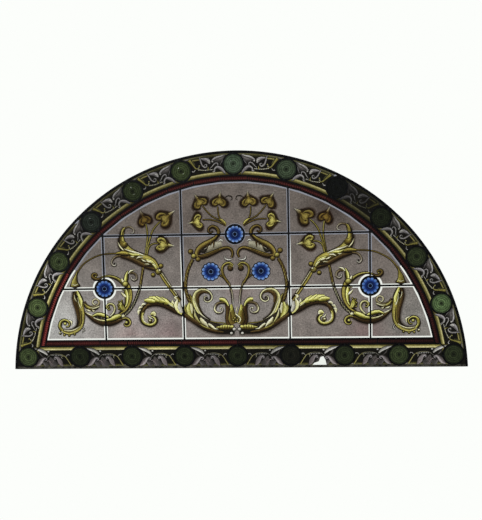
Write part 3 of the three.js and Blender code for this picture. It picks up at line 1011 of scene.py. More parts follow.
@dataclass
class Finishes:
    """The window's materials, each made from what the real one is."""

    glass_ior: float = 1.52
    materials: dict[str, bpy.types.Material] = field(default_factory=dict)

    def new(self, name: str) -> tuple[bpy.types.NodeTree, bpy.types.Node, bpy.types.NodeSocket]:
        """A new material with a Principled shader.

        Args:
            name: the real finish's name.

        Returns:
            Its node tree, its shader and the Object coordinates.
        """
        material = bpy.data.materials.new(name)
        material.use_nodes = True
        tree = material.node_tree
        shader = tree.nodes["Principled BSDF"]
        self.materials[name] = material
        coords = add_node(tree, "ShaderNodeTexCoord")
        return tree, shader, coords.outputs["Object"]

    def see_through(self, shader: bpy.types.Node, roughness: float) -> None:
        """Makes a shader glass."""
        for key, value in (("Roughness", roughness), ("IOR", self.glass_ior), ("Transmission Weight", 1.0)):
            shader.inputs[key].default_value = value

    def glass(
        self, name: str, roughness: float, grain: float, blotch: float, low: float,
    ) -> bpy.types.Material:
        """Glass tinted by its paint, with brush grain and blotches from patterns in real millimetres.

        Args:
            name: the finish's name.
            roughness: the surface's roughness.
            grain: size of the fine grain, in millimetres.
            blotch: size of the broad blotches, in millimetres.
            low: how dark the darkest grain is, as a share.

        Returns:
            The material.
        """
        tree, shader, place = self.new(name)
        tint = add_node(tree, "ShaderNodeAttribute", attribute_name="paint")
        fine = add_node(
            tree, "ShaderNodeTexNoise",
            {"Vector": place, "Scale": 1 / (grain * MM), "Detail": 4.0, "Roughness": 0.6},
        )
        broad = add_node(
            tree, "ShaderNodeTexNoise", {"Vector": place, "Scale": 1 / (blotch * MM), "Detail": 3.0},
        )
        fine_share = add_node(
            tree, "ShaderNodeMapRange",
            {"Value": fine, "From Min": 0.3, "From Max": 0.7, "To Min": low, "To Max": 2 - low},
        )
        broad_share = add_node(
            tree, "ShaderNodeMapRange",
            {
                "Value": broad, "From Min": 0.3, "From Max": 0.7, "To Min": 0.5 + low / 2,
                "To Max": 1.5 - low / 2,
            },
        )
        both = add_node(tree, "ShaderNodeMath", {0: fine_share, 1: broad_share}, operation="MULTIPLY")
        colour = add_node(
            tree, "ShaderNodeVectorMath", {0: tint.outputs["Color"], "Scale": both.outputs["Value"]},
            operation="SCALE",
        )
        tree.links.new(colour.outputs["Vector"], shader.inputs["Base Color"])
        bump = add_node(tree, "ShaderNodeBump", {"Height": broad, "Strength": 0.15, "Distance": 0.5 * MM})
        tree.links.new(bump.outputs["Normal"], shader.inputs["Normal"])
        self.see_through(shader, roughness)
        return self.materials[name]

    def plain_glass(self, name: str, colour: str, roughness: float) -> bpy.types.Material:
        """See-through glass with plain values on its shader.

        Args:
            name: the finish's name.
            colour: its tint.
            roughness: its surface's roughness.

        Returns:
            The material.
        """
        _, shader, _ = self.new(name)
        shader.inputs["Base Color"].default_value = (*linear(colour), 1.0)
        self.see_through(shader, roughness)
        return self.materials[name]

    def painted(self, ground: Ground) -> bpy.types.Material:
        """The painted glass for a ground."""
        return {Ground.RUBY: self.ruby, Ground.BLUE: self.cobalt}.get(ground, self.matted)

    def make(self) -> None:
        """Makes every material."""
        # Kiln-fired vitreous paint and silver stain on crown glass: it lets light through but blurs it.
        self.matted = self.glass("fired_paint_and_silver_stain_on_glass", 0.35, 6.5, 60.0, 0.56)
        # Flashed copper-ruby glass: a skin of deep red, streaky and glossy.
        self.ruby = self.glass("flashed_ruby_glass_with_painted_beads", 0.2, 6.0, 90.0, 0.75)
        # Cobalt pot-metal glass with petals in enamel.
        self.cobalt = self.glass("cobalt_glass_with_enamelled_petals", 0.2, 5.0, 24.0, 0.74)
        # Pressed bottle-green glass, with painted shade in the hollows of its rings and painted light on
        # their ridges.
        self.pressed = self.glass("pressed_bottle_green_glass", 0.12, 6.0, 15.0, 0.42)
        # Clean clear sheet glass, left bare along the leads.
        self.clear = self.plain_glass("clear_sheet_glass", "f3f5f1", 0.03)
        # The same glass, darker and blue-grey, for the bare margins high in the window.
        self.darker_upper_glass = self.plain_glass("darker_upper_sheet_glass", "90929d", 0.25)
        # Lead came, dull grey-black under its oxide and dented by handling.
        self.lead = self.metal("oxidised_lead_came", "17181b", "34363a", 0.55, 14.0, 0.35)
        # The lead along the sill, mottled from grey to pale grey, paler than the rest of the net.
        self.sill_lead = self.metal("paler_lead_at_the_sill", "33322d", "b8b4a6", 0.8, 22.0, 0.4)
        # Tin-lead solder, a little brighter and smoother than the lead round it.
        self.solder = self.metal("dull_tin_lead_solder", "26282b", "4c4f53", 0.42, 6.0, 0.3)

    def metal(
        self, name: str, dark: str, light: str, roughness: float, patch: float, dent: float,
    ) -> bpy.types.Material:
        """Dull soft metal, mottled by oxide and dented by handling.

        Args:
            name: the finish's name.
            dark: its colour under oxide.
            light: its colour where it is rubbed.
            roughness: its mean roughness.
            patch: size of the oxide patches, in millimetres.
            dent: depth of the dents, in millimetres.

        Returns:
            The material.
        """
        tree, shader, place = self.new(name)
        patches = add_node(
            tree, "ShaderNodeTexNoise",
            {"Vector": place, "Scale": 1 / (patch * MM), "Detail": 6.0, "Roughness": 0.65},
        )
        share = add_node(tree, "ShaderNodeMapRange", {"Value": patches, "From Min": 0.35, "From Max": 0.7})
        colour = add_node(tree, "ShaderNodeMix", {0: share}, data_type="RGBA")
        colour.inputs[6].default_value = (*linear(dark), 1.0)
        colour.inputs[7].default_value = (*linear(light), 1.0)
        tree.links.new(colour.outputs[2], shader.inputs["Base Color"])
        rough = add_node(
            tree, "ShaderNodeMapRange",
            {"Value": patches, "To Min": roughness + 0.15, "To Max": roughness - 0.15},
        )
        tree.links.new(rough.outputs["Result"], shader.inputs["Roughness"])
        dents = add_node(
            tree, "ShaderNodeTexNoise", {"Vector": place, "Scale": 1 / (2.2 * patch * MM), "Detail": 3.0},
        )
        bump = add_node(tree, "ShaderNodeBump", {"Height": dents, "Strength": 0.6, "Distance": dent * MM})
        tree.links.new(bump.outputs["Normal"], shader.inputs["Normal"])
        shader.inputs["Metallic"].default_value = 0.55
        return self.materials[name]


# Node trees that make geometry


class NodeTree:
    """A geometry node tree with named inputs, each set on a modifier by its identifier."""

    def __init__(self, name: str, inputs: dict[str, str]) -> None:
        """Makes the tree's interface.

        Args:
            name: the tree's name.
            inputs: the kind of value, such as Float, for each named input.
        """
        self.tree = bpy.data.node_groups.new(name, "GeometryNodeTree")
        face = self.tree.interface
        self.identifiers = {}
        for key, kind in {"Geometry": "Geometry", **inputs, "Material": "Material"}.items():
            socket = face.new_socket(key, in_out="INPUT", socket_type="NodeSocket" + kind)
            self.identifiers[key] = socket.identifier
        face.new_socket("Geometry", in_out="OUTPUT", socket_type="NodeSocketGeometry")
        self.entry = self.add("NodeGroupInput")
        self.exit = self.add("NodeGroupOutput")

    def add(self, kind: str, inputs: dict | None = None, **settings: object) -> bpy.types.Node:
        """Adds a node to the tree."""
        return add_node(self.tree, kind, inputs, **settings)

    def value(self, key: str) -> bpy.types.NodeSocket:
        """The socket of a named input inside the tree."""
        return self.entry.outputs[key]

    def maths(self, operation: str, *values: object) -> bpy.types.NodeSocket:
        """The result of a Math node on numbers or sockets."""
        return self.add("ShaderNodeMath", dict(enumerate(values)), operation=operation).outputs[0]

    def close(self, shape: bpy.types.Node, stand: bool = False) -> None:
        """Ends the tree in real, smooth geometry with its material.

        Args:
            shape: the node that makes the shape.
            stand: True to stand the shape up from its flat layout.
        """
        if stand:
            shape = self.add("GeometryNodeTransform", {"Geometry": shape, "Rotation": (math.pi / 2, 0, 0)})
        smooth = self.add("GeometryNodeSetShadeSmooth", {"Geometry": shape, "Shade Smooth": True})
        real = self.add("GeometryNodeRealizeInstances", {"Geometry": smooth})
        dressed = self.add("GeometryNodeSetMaterial", {"Geometry": real, "Material": self.value("Material")})
        self.tree.links.new(dressed.outputs[0], self.exit.inputs[0])

    def run(self, mesh: bpy.types.Mesh, name: str, values: dict[str, object]) -> bpy.types.Mesh:
        """Runs the tree on a mesh.

        Args:
            mesh: what the tree starts from.
            name: name of the result.
            values: the named inputs.

        Returns:
            A plain mesh, with no modifier behind it.
        """
        holder = bpy.data.objects.new(name + "_source", mesh)
        bpy.context.scene.collection.objects.link(holder)
        modifier = holder.modifiers.new(name, "NODES")
        modifier.node_group = self.tree
        for key, value in values.items():
            modifier[self.identifiers[key]] = value
        evaluated = holder.evaluated_get(bpy.context.evaluated_depsgraph_get())
        made = bpy.data.meshes.new_from_object(evaluated)
        made.name = name
        made.materials.clear()
        made.materials.append(values["Material"])
        made.polygons.foreach_set("material_index", [0] * len(made.polygons))
        holder.modifiers.remove(modifier)
        bpy.data.objects.remove(holder)
        return made


def came_tree() -> NodeTree:
    """Nodes that sweep a came's H section, two rounded leaves and a heart, along the lines of a mesh.

    Returns:
        The node tree, with the section's sizes as its inputs.
    """
    nodes = NodeTree("came_section", {
        "Leaf": "Float", "Leaf Thickness": "Float", "Heart": "Float", "Channel": "Float",
    })
    path = nodes.add("GeometryNodeMeshToCurve", {"Mesh": nodes.value("Geometry")})
    upright = nodes.add("GeometryNodeSetCurveNormal", {"Curve": path}, mode="Z_UP")
    leaf = nodes.add(
        "GeometryNodeCurvePrimitiveQuadrilateral",
        {"Width": nodes.value("Leaf"), "Height": nodes.value("Leaf Thickness")},
    )
    round_off = nodes.maths("MULTIPLY", nodes.value("Leaf Thickness"), 0.48)
    rounded = nodes.add(
        "GeometryNodeFilletCurve", {"Curve": leaf, "Radius": round_off, "Count": 3}, mode="POLY",
    )
    lift = nodes.maths(
        "MULTIPLY", nodes.maths("ADD", nodes.value("Channel"), nodes.value("Leaf Thickness")), 0.5,
    )
    heart = nodes.add(
        "GeometryNodeCurvePrimitiveQuadrilateral",
        {"Width": nodes.value("Heart"), "Height": nodes.value("Channel")},
    )
    section = nodes.add("GeometryNodeJoinGeometry")
    nodes.tree.links.new(heart.outputs["Curve"], section.inputs[0])
    for sign in (1, -1):
        height = nodes.add("ShaderNodeCombineXYZ", {"Y": nodes.maths("MULTIPLY", lift, sign)})
        moved = nodes.add("GeometryNodeTransform", {"Geometry": rounded, "Translation": height})
        nodes.tree.links.new(moved.outputs["Geometry"], section.inputs[0])
    swept = nodes.add(
        "GeometryNodeCurveToMesh", {"Curve": upright, "Profile Curve": section, "Fill Caps": True},
    )
    nodes.close(swept, stand=True)
    return nodes


def solder_tree() -> NodeTree:
    """Nodes that set a low uneven bead of solder at each point of a mesh, on both faces of the net.

    Returns:
        The node tree, with the beads' sizes as its inputs.
    """
    nodes = NodeTree("solder_beads", {"Radius": "Float", "Height": "Float", "Level": "Float"})
    bead = nodes.add("GeometryNodeMeshUVSphere", {"Segments": 12, "Rings": 6, "Radius": 1.0})
    place = nodes.add("GeometryNodeInputPosition")
    noise = nodes.add("ShaderNodeTexNoise", {"Vector": place, "Scale": 1.3})
    swell = nodes.add("ShaderNodeMapRange", {"Value": noise, "To Min": 0.72, "To Max": 1.0})
    lumpy = nodes.add("ShaderNodeVectorMath", {0: place, "Scale": swell}, operation="SCALE")
    dented = nodes.add("GeometryNodeSetPosition", {"Geometry": bead, "Position": lumpy})
    size = nodes.add(
        "ShaderNodeCombineXYZ",
        {"X": nodes.value("Radius"), "Y": nodes.value("Radius"), "Z": nodes.value("Height")},
    )
    turn = nodes.add(
        "FunctionNodeRandomValue", {"Min": (0, 0, 0), "Max": (0, 0, 6.2), "Seed": 7},
        data_type="FLOAT_VECTOR",
    )
    both = nodes.add("GeometryNodeJoinGeometry")
    for sign in (1, -1):
        level = nodes.add("ShaderNodeCombineXYZ", {"Z": nodes.maths("MULTIPLY", nodes.value("Level"), sign)})
        points = nodes.add(
            "GeometryNodeTransform", {"Geometry": nodes.value("Geometry"), "Translation": level},
        )
        beads = nodes.add(
            "GeometryNodeInstanceOnPoints", {"Points": points, "Instance": dented, "Scale": size},
        )
        nodes.tree.links.new(turn.outputs["Value"], beads.inputs["Rotation"])
        nodes.tree.links.new(beads.outputs["Instances"], both.inputs[0])
    nodes.close(both, stand=True)
    return nodes


def roundel_tree() -> NodeTree:
    """Nodes that turn a grid into a pressed roundel: a disc whose front is ridged in rings round a boss.

    Returns:
        The node tree, with the roundel's place, sizes and colours as its inputs.
    """
    nodes = NodeTree("pressed_roundel", {
        "Centre X": "Float", "Centre Z": "Float", "Radius": "Float", "Half Thickness": "Float",
        "Relief": "Float", "Bright": "Color", "Dark": "Color",
    })
    grid = nodes.add(
        "GeometryNodeMeshGrid", {"Size X": 1.0, "Size Y": 1.0, "Vertices X": 65, "Vertices Y": 49},
    )
    place = nodes.add(
        "ShaderNodeSeparateXYZ", {"Vector": nodes.add("GeometryNodeInputPosition").outputs["Position"]},
    )
    share = nodes.maths(
        "SUBTRACT", 1.0, nodes.maths("MULTIPLY", nodes.maths("ABSOLUTE", place.outputs["X"]), 2.0),
    )
    angle = nodes.maths("MULTIPLY", nodes.maths("ADD", place.outputs["Y"], 0.5), 2 * math.pi)
    side = nodes.maths("SIGN", place.outputs["X"])
    rings = nodes.add("ShaderNodeFloatCurve", {"Value": share})
    curve = rings.mapping.curves[0]
    ridge = [
        (0.0, 0.3), (0.1, 0.05), (0.2, 0.5), (0.27, 0.15), (0.37, 1.0), (0.46, 0.2), (0.56, 0.75),
        (0.65, 0.2), (0.75, 0.66), (0.82, 0.34), (0.89, 0.14), (0.94, 0.5), (1.0, 0.1),
    ]
    curve.points[0].location, curve.points[1].location = ridge[0], ridge[-1]
    for spot in ridge[1:-1]:
        curve.points.new(*spot)
    rings.mapping.update()
    edge = nodes.add(
        "ShaderNodeMapRange",
        {"Value": share, "From Min": 0.9, "From Max": 1.0, "To Min": 1.0, "To Max": 0.0},
        interpolation_type="SMOOTHSTEP",
    )
    front = nodes.maths("LESS_THAN", place.outputs["X"], 0.0)
    relief = nodes.maths(
        "MULTIPLY", nodes.maths("MULTIPLY", nodes.value("Relief"), rings.outputs["Value"]), front,
    )
    depth = nodes.maths(
        "MULTIPLY", nodes.maths("ADD", nodes.value("Half Thickness"), relief), edge.outputs["Result"],
    )
    reach = nodes.maths("MULTIPLY", share, nodes.value("Radius"))
    spot = nodes.add(
        "ShaderNodeCombineXYZ",
        {
            "X": nodes.maths(
                "ADD", nodes.value("Centre X"), nodes.maths("MULTIPLY", reach, nodes.maths("COSINE", angle)),
            ),
            "Y": nodes.maths("MULTIPLY", depth, side),
            "Z": nodes.maths(
                "ADD", nodes.value("Centre Z"), nodes.maths("MULTIPLY", reach, nodes.maths("SINE", angle)),
            ),
        },
    )
    # the paint follows the ridge profile: painted light on the ridges, painted shade in the hollows
    tone = nodes.add(
        "ShaderNodeMix", {0: rings.outputs["Value"], 6: nodes.value("Dark"), 7: nodes.value("Bright")},
        data_type="RGBA",
    )
    painted = nodes.add(
        "GeometryNodeStoreNamedAttribute", {"Geometry": grid, "Name": "paint", "Value": tone.outputs[2]},
        data_type="FLOAT_COLOR", domain="POINT",
    )
    moved = nodes.add("GeometryNodeSetPosition", {"Geometry": painted, "Position": spot})
    merged = nodes.add("GeometryNodeMergeByDistance", {"Geometry": moved, "Distance": 1e-5})
    nodes.close(merged)
    return nodes


# Leadwork


@dataclass
class LeadNet:
    """The cames, their rings and their solder joints."""

    leading: Leading
    finishes: Finishes
    fillet_leaf: float = 5.4
    cross_leaf: float = 3.6
    solder_radius: float = 5.4
    small_solder: float = 3.0
    solder_height: float = 0.45
    solder_sink: float = 0.15
    solder_offset: float = 1.5
    ring_sides: int = 44
    # the arch's came stops this high, so that its square ends stay above the outline's foot
    arch_end: float = 0.4

    def lines_mesh(self, name: str, lines: Sequence[Sequence[Point]], closed: bool = False) -> bpy.types.Mesh:
        """A mesh of lines in its own flat layout, in metres.

        Args:
            name: the mesh's name.
            lines: the points of each line, in millimetres.
            closed: True to join each line's ends.

        Returns:
            The mesh.
        """
        points, edges = [], []
        for line in lines:
            start = len(points)
            points += [(x * MM, z * MM, 0.0) for x, z in line]
            last = len(points) - 1
            edges += [(i, i + 1) for i in range(start, last)]
            if closed:
                edges.append((last, start))
        mesh = bpy.data.meshes.new(name)
        mesh.from_pydata(points, edges, [])
        return mesh

    def perimeter(self) -> tuple[list[list[Point]], list[list[Point]]]:
        """The lines of the came round the arch and along the sill, half its leaf inside the outline.

        Returns:
            The lines round the arch, then those along the sill.
        """
        g = self.leading
        half = g.perimeter_leaf / 2
        arch = g.lunette(half, self.arch_end)
        reach = arch[0][0]
        return [arch], [[(-reach, half), (reach, half)]]

    def fillets(self) -> list[list[Point]]:
        """The lines of the two cames beside the ruby fillet, and of the mitres out to the corner roundels.

        Returns:
            The points of each line, in millimetres.
        """
        g = self.leading
        lines = []
        for inset, height in ((g.arch_outer_came, g.base_outer_came), (g.arch_inner_came, g.base_inner_came)):
            arch = g.lunette(inset, height)
            lines += [arch, [arch[-1], arch[0]]]
        corner = g.fillet_corner()
        inner = g.foot(g.arch_inner_came, g.base_inner_came)
        for s in (1, -1):
            centre = np.array((s * g.corner_x, g.base_inset))
            out = np.array((s * corner[0], corner[1])) - centre
            out /= np.linalg.norm(out)
            lines.append([tuple(centre + out * g.ring_radius), (s * corner[0], corner[1])])
            top = g.on_arch(g.arch_inner_came, inner)
            low = g.on_arch(g.arch_inner_came, g.foot(g.arch_inner_came, g.base_outer_came))
            lines.append([(s * top[0], top[1]), (s * low[0], low[1])])
        return lines

    def field_lines(self) -> list[list[Point]]:
        """The lines of the cames between the field's panes, stopped at the rosettes' rings.

        Returns:
            The points of each line, in millimetres.
        """
        g = self.leading
        reach = g.radius - g.arch_inner_came
        lines = []
        ring = g.rosette_ring_radius
        for s in (1, -1):
            for x, stops in ((g.inner_came_x, []), (g.outer_came_x, [g.lower_came])):
                top = g.centre_z + math.sqrt(reach**2 - x**2)
                cuts = [g.base_inner_came]
                for z in stops:
                    cuts += [z - ring, z + ring]
                cuts.append(top)
                lines += [[(s * x, a), (s * x, b)] for a, b in zip(cuts[::2], cuts[1::2])]
        for z, stops in ((g.lower_came, [-g.outer_came_x, g.outer_came_x]), (g.upper_came, [0.0])):
            end = math.sqrt(reach**2 - (z - g.centre_z) ** 2)
            cuts = [-end]
            for x in stops:
                cuts += [x - ring, x + ring]
            cuts.append(end)
            lines += [[(a, z), (b, z)] for a, b in zip(cuts[::2], cuts[1::2])]
        return lines

    def strip_ends(self) -> tuple[np.ndarray, np.ndarray]:
        """The angles and the places along the base where the ruby strips end.

        Returns:
            The angles, from the left, and the places along x.
        """
        g = self.leading
        foot = g.foot((g.arch_outer_came + g.arch_inner_came) / 2, g.base_outer_came)
        angles = np.linspace(math.pi - foot, foot, g.arch_strips + 1)
        low = g.foot(g.arch_inner_came, (g.base_outer_came + g.base_inner_came) / 2)
        reach = g.on_arch(g.arch_inner_came, low)[0]
        return angles, np.linspace(-reach, reach, g.base_strips + 1)

    def cross_lines(self) -> list[list[Point]]:
        """The short leads over the joints of the ruby strips.

        Returns:
            The points of each line, in millimetres.
        """
        g = self.leading
        angles, places = self.strip_ends()
        lines = [[g.on_arch(g.arch_outer_came, a), g.on_arch(g.arch_inner_came, a)] for a in angles[1:-1]]
        lines += [[(x, g.base_outer_came), (x, g.base_inner_came)] for x in places[1:-1]]
        return lines

    def rings(self) -> tuple[list[list[Point]], list[list[Point]]]:
        """The circles of the roundels' cames and of the rosettes' cames.

        Returns:
            The roundels' circles, then the rosettes'.
        """
        g = self.leading
        roundels = [
            disc(g.centre_of(n), g.ring_radius, self.ring_sides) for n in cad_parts
            if n.startswith("roundel_")
        ]
        rosettes = [
            disc(g.centre_of(n), g.rosette_ring_radius, self.ring_sides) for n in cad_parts
            if n.startswith("rosette_")
        ]
        return roundels, rosettes

    def joints(self) -> tuple[list[Point], list[Point]]:
        """Where cames meet: the places of the large solder beads and of the small ones.

        Returns:
            The large beads' places, then the small ones'.
        """
        g = self.leading
        large = [p for line in self.field_lines() for p in (line[0], line[-1])]
        large += [
            (s * x, z) for s in (1, -1) for x in (g.inner_came_x, g.outer_came_x)
            for z in (g.lower_came, g.upper_came) if (x, z) != (g.outer_came_x, g.lower_came)
        ]
        small = [p for line in self.cross_lines() for p in (line[0], line[-1])]
        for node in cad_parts:
            if node.startswith("roundel_"):
                x, z = g.centre_of(node)
                out = np.array((x, z - g.centre_z)) if "arch" in node else np.array((0.0, -1.0))
                out = out / np.linalg.norm(out) * (g.ring_radius + self.solder_offset)
                large += [(x + out[0], z + out[1]), (x - out[0], z - out[1])]
        corner = g.fillet_corner()
        large += [(corner[0], corner[1]), (-corner[0], corner[1])]
        return large, small

    def build(self) -> None:
        """Makes every piece of the net."""
        g = self.leading
        cames, beads = came_tree(), solder_tree()
        roundels, rosettes = self.rings()
        arch, sill = self.perimeter()
        groups = [
            ("perimeter_came", arch, g.perimeter_leaf, g.perimeter_heart, False),
            ("sill_came", sill, g.perimeter_leaf, g.perimeter_heart, False),
            ("fillet_cames", self.fillets(), self.fillet_leaf, g.heart, False),
            ("field_cames", self.field_lines(), g.leaf, g.heart, False),
            ("fillet_cross_leads", self.cross_lines(), self.cross_leaf, g.heart, False),
            ("roundel_rings", roundels, g.leaf, g.heart, True),
            ("rosette_rings", rosettes, g.leaf, g.heart, True),
        ]
        for name, lines, leaf, heart, closed in groups:
            mesh = cames.run(self.lines_mesh(name + "_lines", lines, closed), name, {
                "Leaf": leaf * MM, "Leaf Thickness": g.leaf_thickness * MM, "Heart": heart * MM,
                "Channel": g.channel * MM,
                "Material": self.finishes.sill_lead if name == "sill_came" else self.finishes.lead,
            })
            add_piece(mesh, name, ["lead_came_net"])
        level = g.channel / 2 + g.leaf_thickness - self.solder_sink
        for name, places, radius in zip(
            ("solder_joints", "small_solder_joints"), self.joints(), (self.solder_radius, self.small_solder),
        ):
            source = bpy.data.meshes.new(name + "_points")
            source.from_pydata([(x * MM, z * MM, 0.0) for x, z in places], [], [])
            mesh = beads.run(source, name, {
                "Radius": radius * MM, "Height": self.solder_height * MM, "Level": level * MM,
                "Material": self.finishes.solder,
            })
            add_piece(mesh, name, ["lead_came_net"])


# Roundels


@dataclass
class Roundels:
    """The pressed green roundels between the border's panels."""

    leading: Leading
    finishes: Finishes
    radius: float = 43.7
    half_thickness: float = 1.5
    relief: float = 1.45
    bright: str = "5b6b42"
    dark: str = "0d100a"
    tints: dict[str, str] = field(default_factory=lambda: {
        "roundel_arch_04": "566458", "roundel_arch_07": "5a6d56", "roundel_arch_08": "586950",
        "roundel_arch_09": "4c5058", "roundel_arch_12": "5a7048", "roundel_base_05": "5c5c46",
    })
    arch_light: tuple[float, ...] = (
        0.85, 1.08, 0.78, 0.52, 0.6, 0.76, 0.95, 0.85, 0.2, 0.34, 0.58, 1.1, 0.56,
    )
    base_light: tuple[float, ...] = (0.42, 0.5, 0.48, 0.42, 0.32, 0.52, 0.7)

    def build(self) -> None:
        """Makes each roundel, lit as brightly as the daylight behind it lets it be."""
        tree = roundel_tree()
        lights = {f"roundel_arch_{i + 1:02d}": v for i, v in enumerate(self.arch_light)}
        lights |= {f"roundel_base_{i + 1:02d}": v for i, v in enumerate(self.base_light)}
        for node, light in lights.items():
            x, z = self.leading.centre_of(node)
            mesh = tree.run(bpy.data.meshes.new(node + "_blank"), node + "_glass", {
                "Centre X": x * MM, "Centre Z": z * MM, "Radius": self.radius * MM,
                "Half Thickness": self.half_thickness * MM, "Relief": self.relief * MM,
                "Bright": (*linear(srgb(self.tints.get(node, self.bright)) * light), 1.0),
                "Dark": (*linear(srgb(self.dark) * (0.5 + 0.5 * light)), 1.0),
                "Material": self.finishes.pressed,
            })
            add_piece(mesh, node + "_glass", [node])


# Panes


@dataclass
class Glazing:
    """The flat glass: the field's panes, the rosettes, the border's panels and the ruby fillet."""

    leading: Leading
    finishes: Finishes
    shapes: PaintedShapes
    matting: Matting = field(default_factory=Matting)
    margin: float = 8.0
    high_margin: float = 6.6
    arch_margin: float = 139.8
    base_margin: float = 136.6
    halo: float = 53.0
    high_halo: float = 46.8
    setback: float = 7.0
    worn: dict[str, list[list[Point]]] = field(default_factory=lambda: {
        # the painted layer is lost: a corner by the sill, and flakes along the rim
        "border_panel_base_06": [[(326, 8), (336, 20), (356, 27), (364, 46), (376, 50), (385, 34), (391, 8)]],
        "border_panel_arch_03": [[(-722, 652), (-706, 646), (-692, 650), (-682, 662), (-700, 668)]],
        "border_panel_arch_08": [[(430, 833), (438, 829), (443, 834), (436, 842)]],
    })

    def field_outline(self) -> list[Point]:
        """The half-round that holds every pane of the field."""
        g = self.leading
        return g.lunette(g.arch_inner_came + g.seat, g.base_inner_came + g.seat)

    def matted_outline(self) -> list[Point]:
        """The half-round inside which the panes are matted."""
        return self.leading.lunette(self.arch_margin, self.base_margin)

    def rectangle(self, x0: float, z0: float, x1: float, z1: float, gap: float) -> list[Point]:
        """The rectangle between cames, drawn in by a gap."""
        return box_outline(x0 + gap, z0 + gap, x1 - gap, z1 - gap)

    def field_panes(self) -> list[Pane]:
        """The thirteen panes between the field's cames.

        Returns:
            The panes, from the bottom row up.
        """
        g = self.leading
        a, b, far = g.inner_came_x, g.outer_came_x, g.radius
        low, mid, top = 0.0, g.lower_came, g.upper_came
        names = ("far_left", "left", "centre", "right", "far_right")
        columns = ((-far, -b), (-b, -a), (-a, a), (a, b), (b, far))
        cells = [(f"pane_bottom_{n}", x0, low, x1, mid) for n, (x0, x1) in zip(names, columns)]
        cells += [(f"pane_middle_{n}", x0, mid, x1, top) for n, (x0, x1) in zip(names, columns)]
        cells += [
            ("pane_top_left", -far, top, -a, far), ("pane_top_centre", -a, top, a, far),
            ("pane_top_right", a, top, far, far),
        ]
        rosettes = [g.centre_of(n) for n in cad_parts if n.startswith("rosette_")]
        panes = []
        for node, x0, z0, x1, z1 in cells:
            near = [c for c in rosettes if x0 - 1 <= c[0] <= x1 + 1 and z0 - 1 <= c[1] <= z1 + 1]
            panes.append(Pane(
                node, "painted_field_glass",
                [self.rectangle(x0, z0, x1, z1, g.seat), self.field_outline()],
                [disc(c, g.rosette_ring_radius + g.seat) for c in near],
                [self.rectangle(x0, z0, x1, z1, self.high_margin if z1 > top else self.margin),
                    self.matted_outline()],
                [disc(c, self.halo if c[1] < top - 1 else self.high_halo) for c in near],
            ))
        return panes

    def rosettes(self) -> list[Pane]:
        """The three blue rosettes.

        Returns:
            The panes.
        """
        g = self.leading
        return [
            Pane(n, "blue_rosette_glass", [disc(g.centre_of(n), g.rosette_ring_radius - g.seat)],
                ground=Ground.BLUE)
            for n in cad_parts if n.startswith("rosette_")
        ]

    def border_panel(self, node: str, outline: list[Point], centres: Sequence[Point]) -> Pane:
        """A piece of the border, cut out round the roundels beside it."""
        holes = [disc(c, self.leading.ring_radius + self.leading.seat) for c in centres]
        return Pane(node, "painted_border_glass", [outline], holes, ground=Ground.BLACK)

    def arch_panels(self) -> list[Pane]:
        """The twelve border panels along the arch.

        Returns:
            The panels, from the left.
        """
        g = self.leading
        outer, inner = g.rim_seat, g.arch_outer_came - g.seat
        back = self.setback / g.radius
        panes = []
        for bay in range(g.arch_bays):
            start, end = g.bay_angles(bay)
            a, b = start - back, end + back
            low, high = a, b
            centres = [g.centre_of(f"roundel_arch_{bay + 1:02d}"), g.centre_of(f"roundel_arch_{bay + 2:02d}")]
            foot = g.foot(inner, g.base_outer_came)
            outline = g.arc(outer, b, a)
            if bay == 0:
                low = math.pi - foot - g.seat / g.radius
                outline += [centres[0]]
            if bay == g.arch_bays - 1:
                high = foot + g.seat / g.radius
            outline += g.arc(inner, low, high)
            if bay == g.arch_bays - 1:
                outline += [centres[1]]
            panes.append(self.border_panel(f"border_panel_arch_{bay + 1:02d}", outline, centres))
        return panes

    def base_panels(self) -> list[Pane]:
        """The eight border panels along the base, and the two scraps outside the corner roundels.

        Returns:
            The panels, from the left, then the scraps.
        """
        g = self.leading
        outer, inner = g.rim_seat, g.base_outer_came - g.seat
        corner = g.fillet_corner()
        panes = []
        for bay in range(g.base_bays):
            x0 = -g.corner_x + bay * g.base_bay
            x1 = x0 + g.base_bay
            left, right = x0 + self.setback, x1 - self.setback
            outline = [(left, outer), (right, outer)]
            last = bay == g.base_bays - 1
            outline += [(x1, g.base_inset), (corner[0] - g.seat, inner)] if last else [(right, inner)]
            outline += [(-corner[0] + g.seat, inner), (x0, g.base_inset)] if bay == 0 else [(left, inner)]
            centres = [(x0, g.base_inset), (x1, g.base_inset)]
            panes.append(self.border_panel(f"border_panel_base_{bay + 1:02d}", outline, centres))
        foot = g.foot(outer, outer)
        back = self.setback / g.radius
        for side, s in (("left", -1), ("right", 1)):
            centre = (s * g.corner_x, g.base_inset)
            rim = [(s * x, z) for x, z in g.arc(outer, foot, g.corner_angle - back)]
            outline = [(s * (g.corner_x + self.setback), outer), *rim, centre]
            panes.append(self.border_panel(f"border_corner_{side}", outline, [centre]))
        return panes

    def ruby(self, net: LeadNet) -> Pane:
        """The ruby fillet, parted into strips at its cross leads.

        Args:
            net: the leadwork, which gives the cross leads.

        Returns:
            The fillet as one pane.
        """
        g = self.leading
        gap = g.seat
        cuts = []
        for a, b in net.cross_lines():
            p, q = np.array(a), np.array(b)
            d = (q - p) / np.linalg.norm(q - p)
            n = np.array([-d[1], d[0]]) * gap
            cuts.append([tuple(v) for v in (p - d * 3 - n, p - d * 3 + n, q + d * 3 + n, q + d * 3 - n)])
        return Pane(
            "ruby_fillet", "ruby_glass",
            [g.lunette(g.arch_outer_came + gap, g.base_outer_came + gap)],
            [g.lunette(g.arch_inner_came - gap, g.base_inner_came - gap), *cuts],
            ground=Ground.RUBY,
        )

    def build(self, net: LeadNet) -> None:
        """Makes every pane.

        Args:
            net: the leadwork, whose cross leads part the ruby fillet.
        """
        for pane in [
            *self.field_panes(), *self.rosettes(), *self.arch_panels(), *self.base_panels(), self.ruby(net),
        ]:
            pane.worn = self.worn.get(pane.node, [])
            pane.build(self.shapes, self.matting, self.finishes)


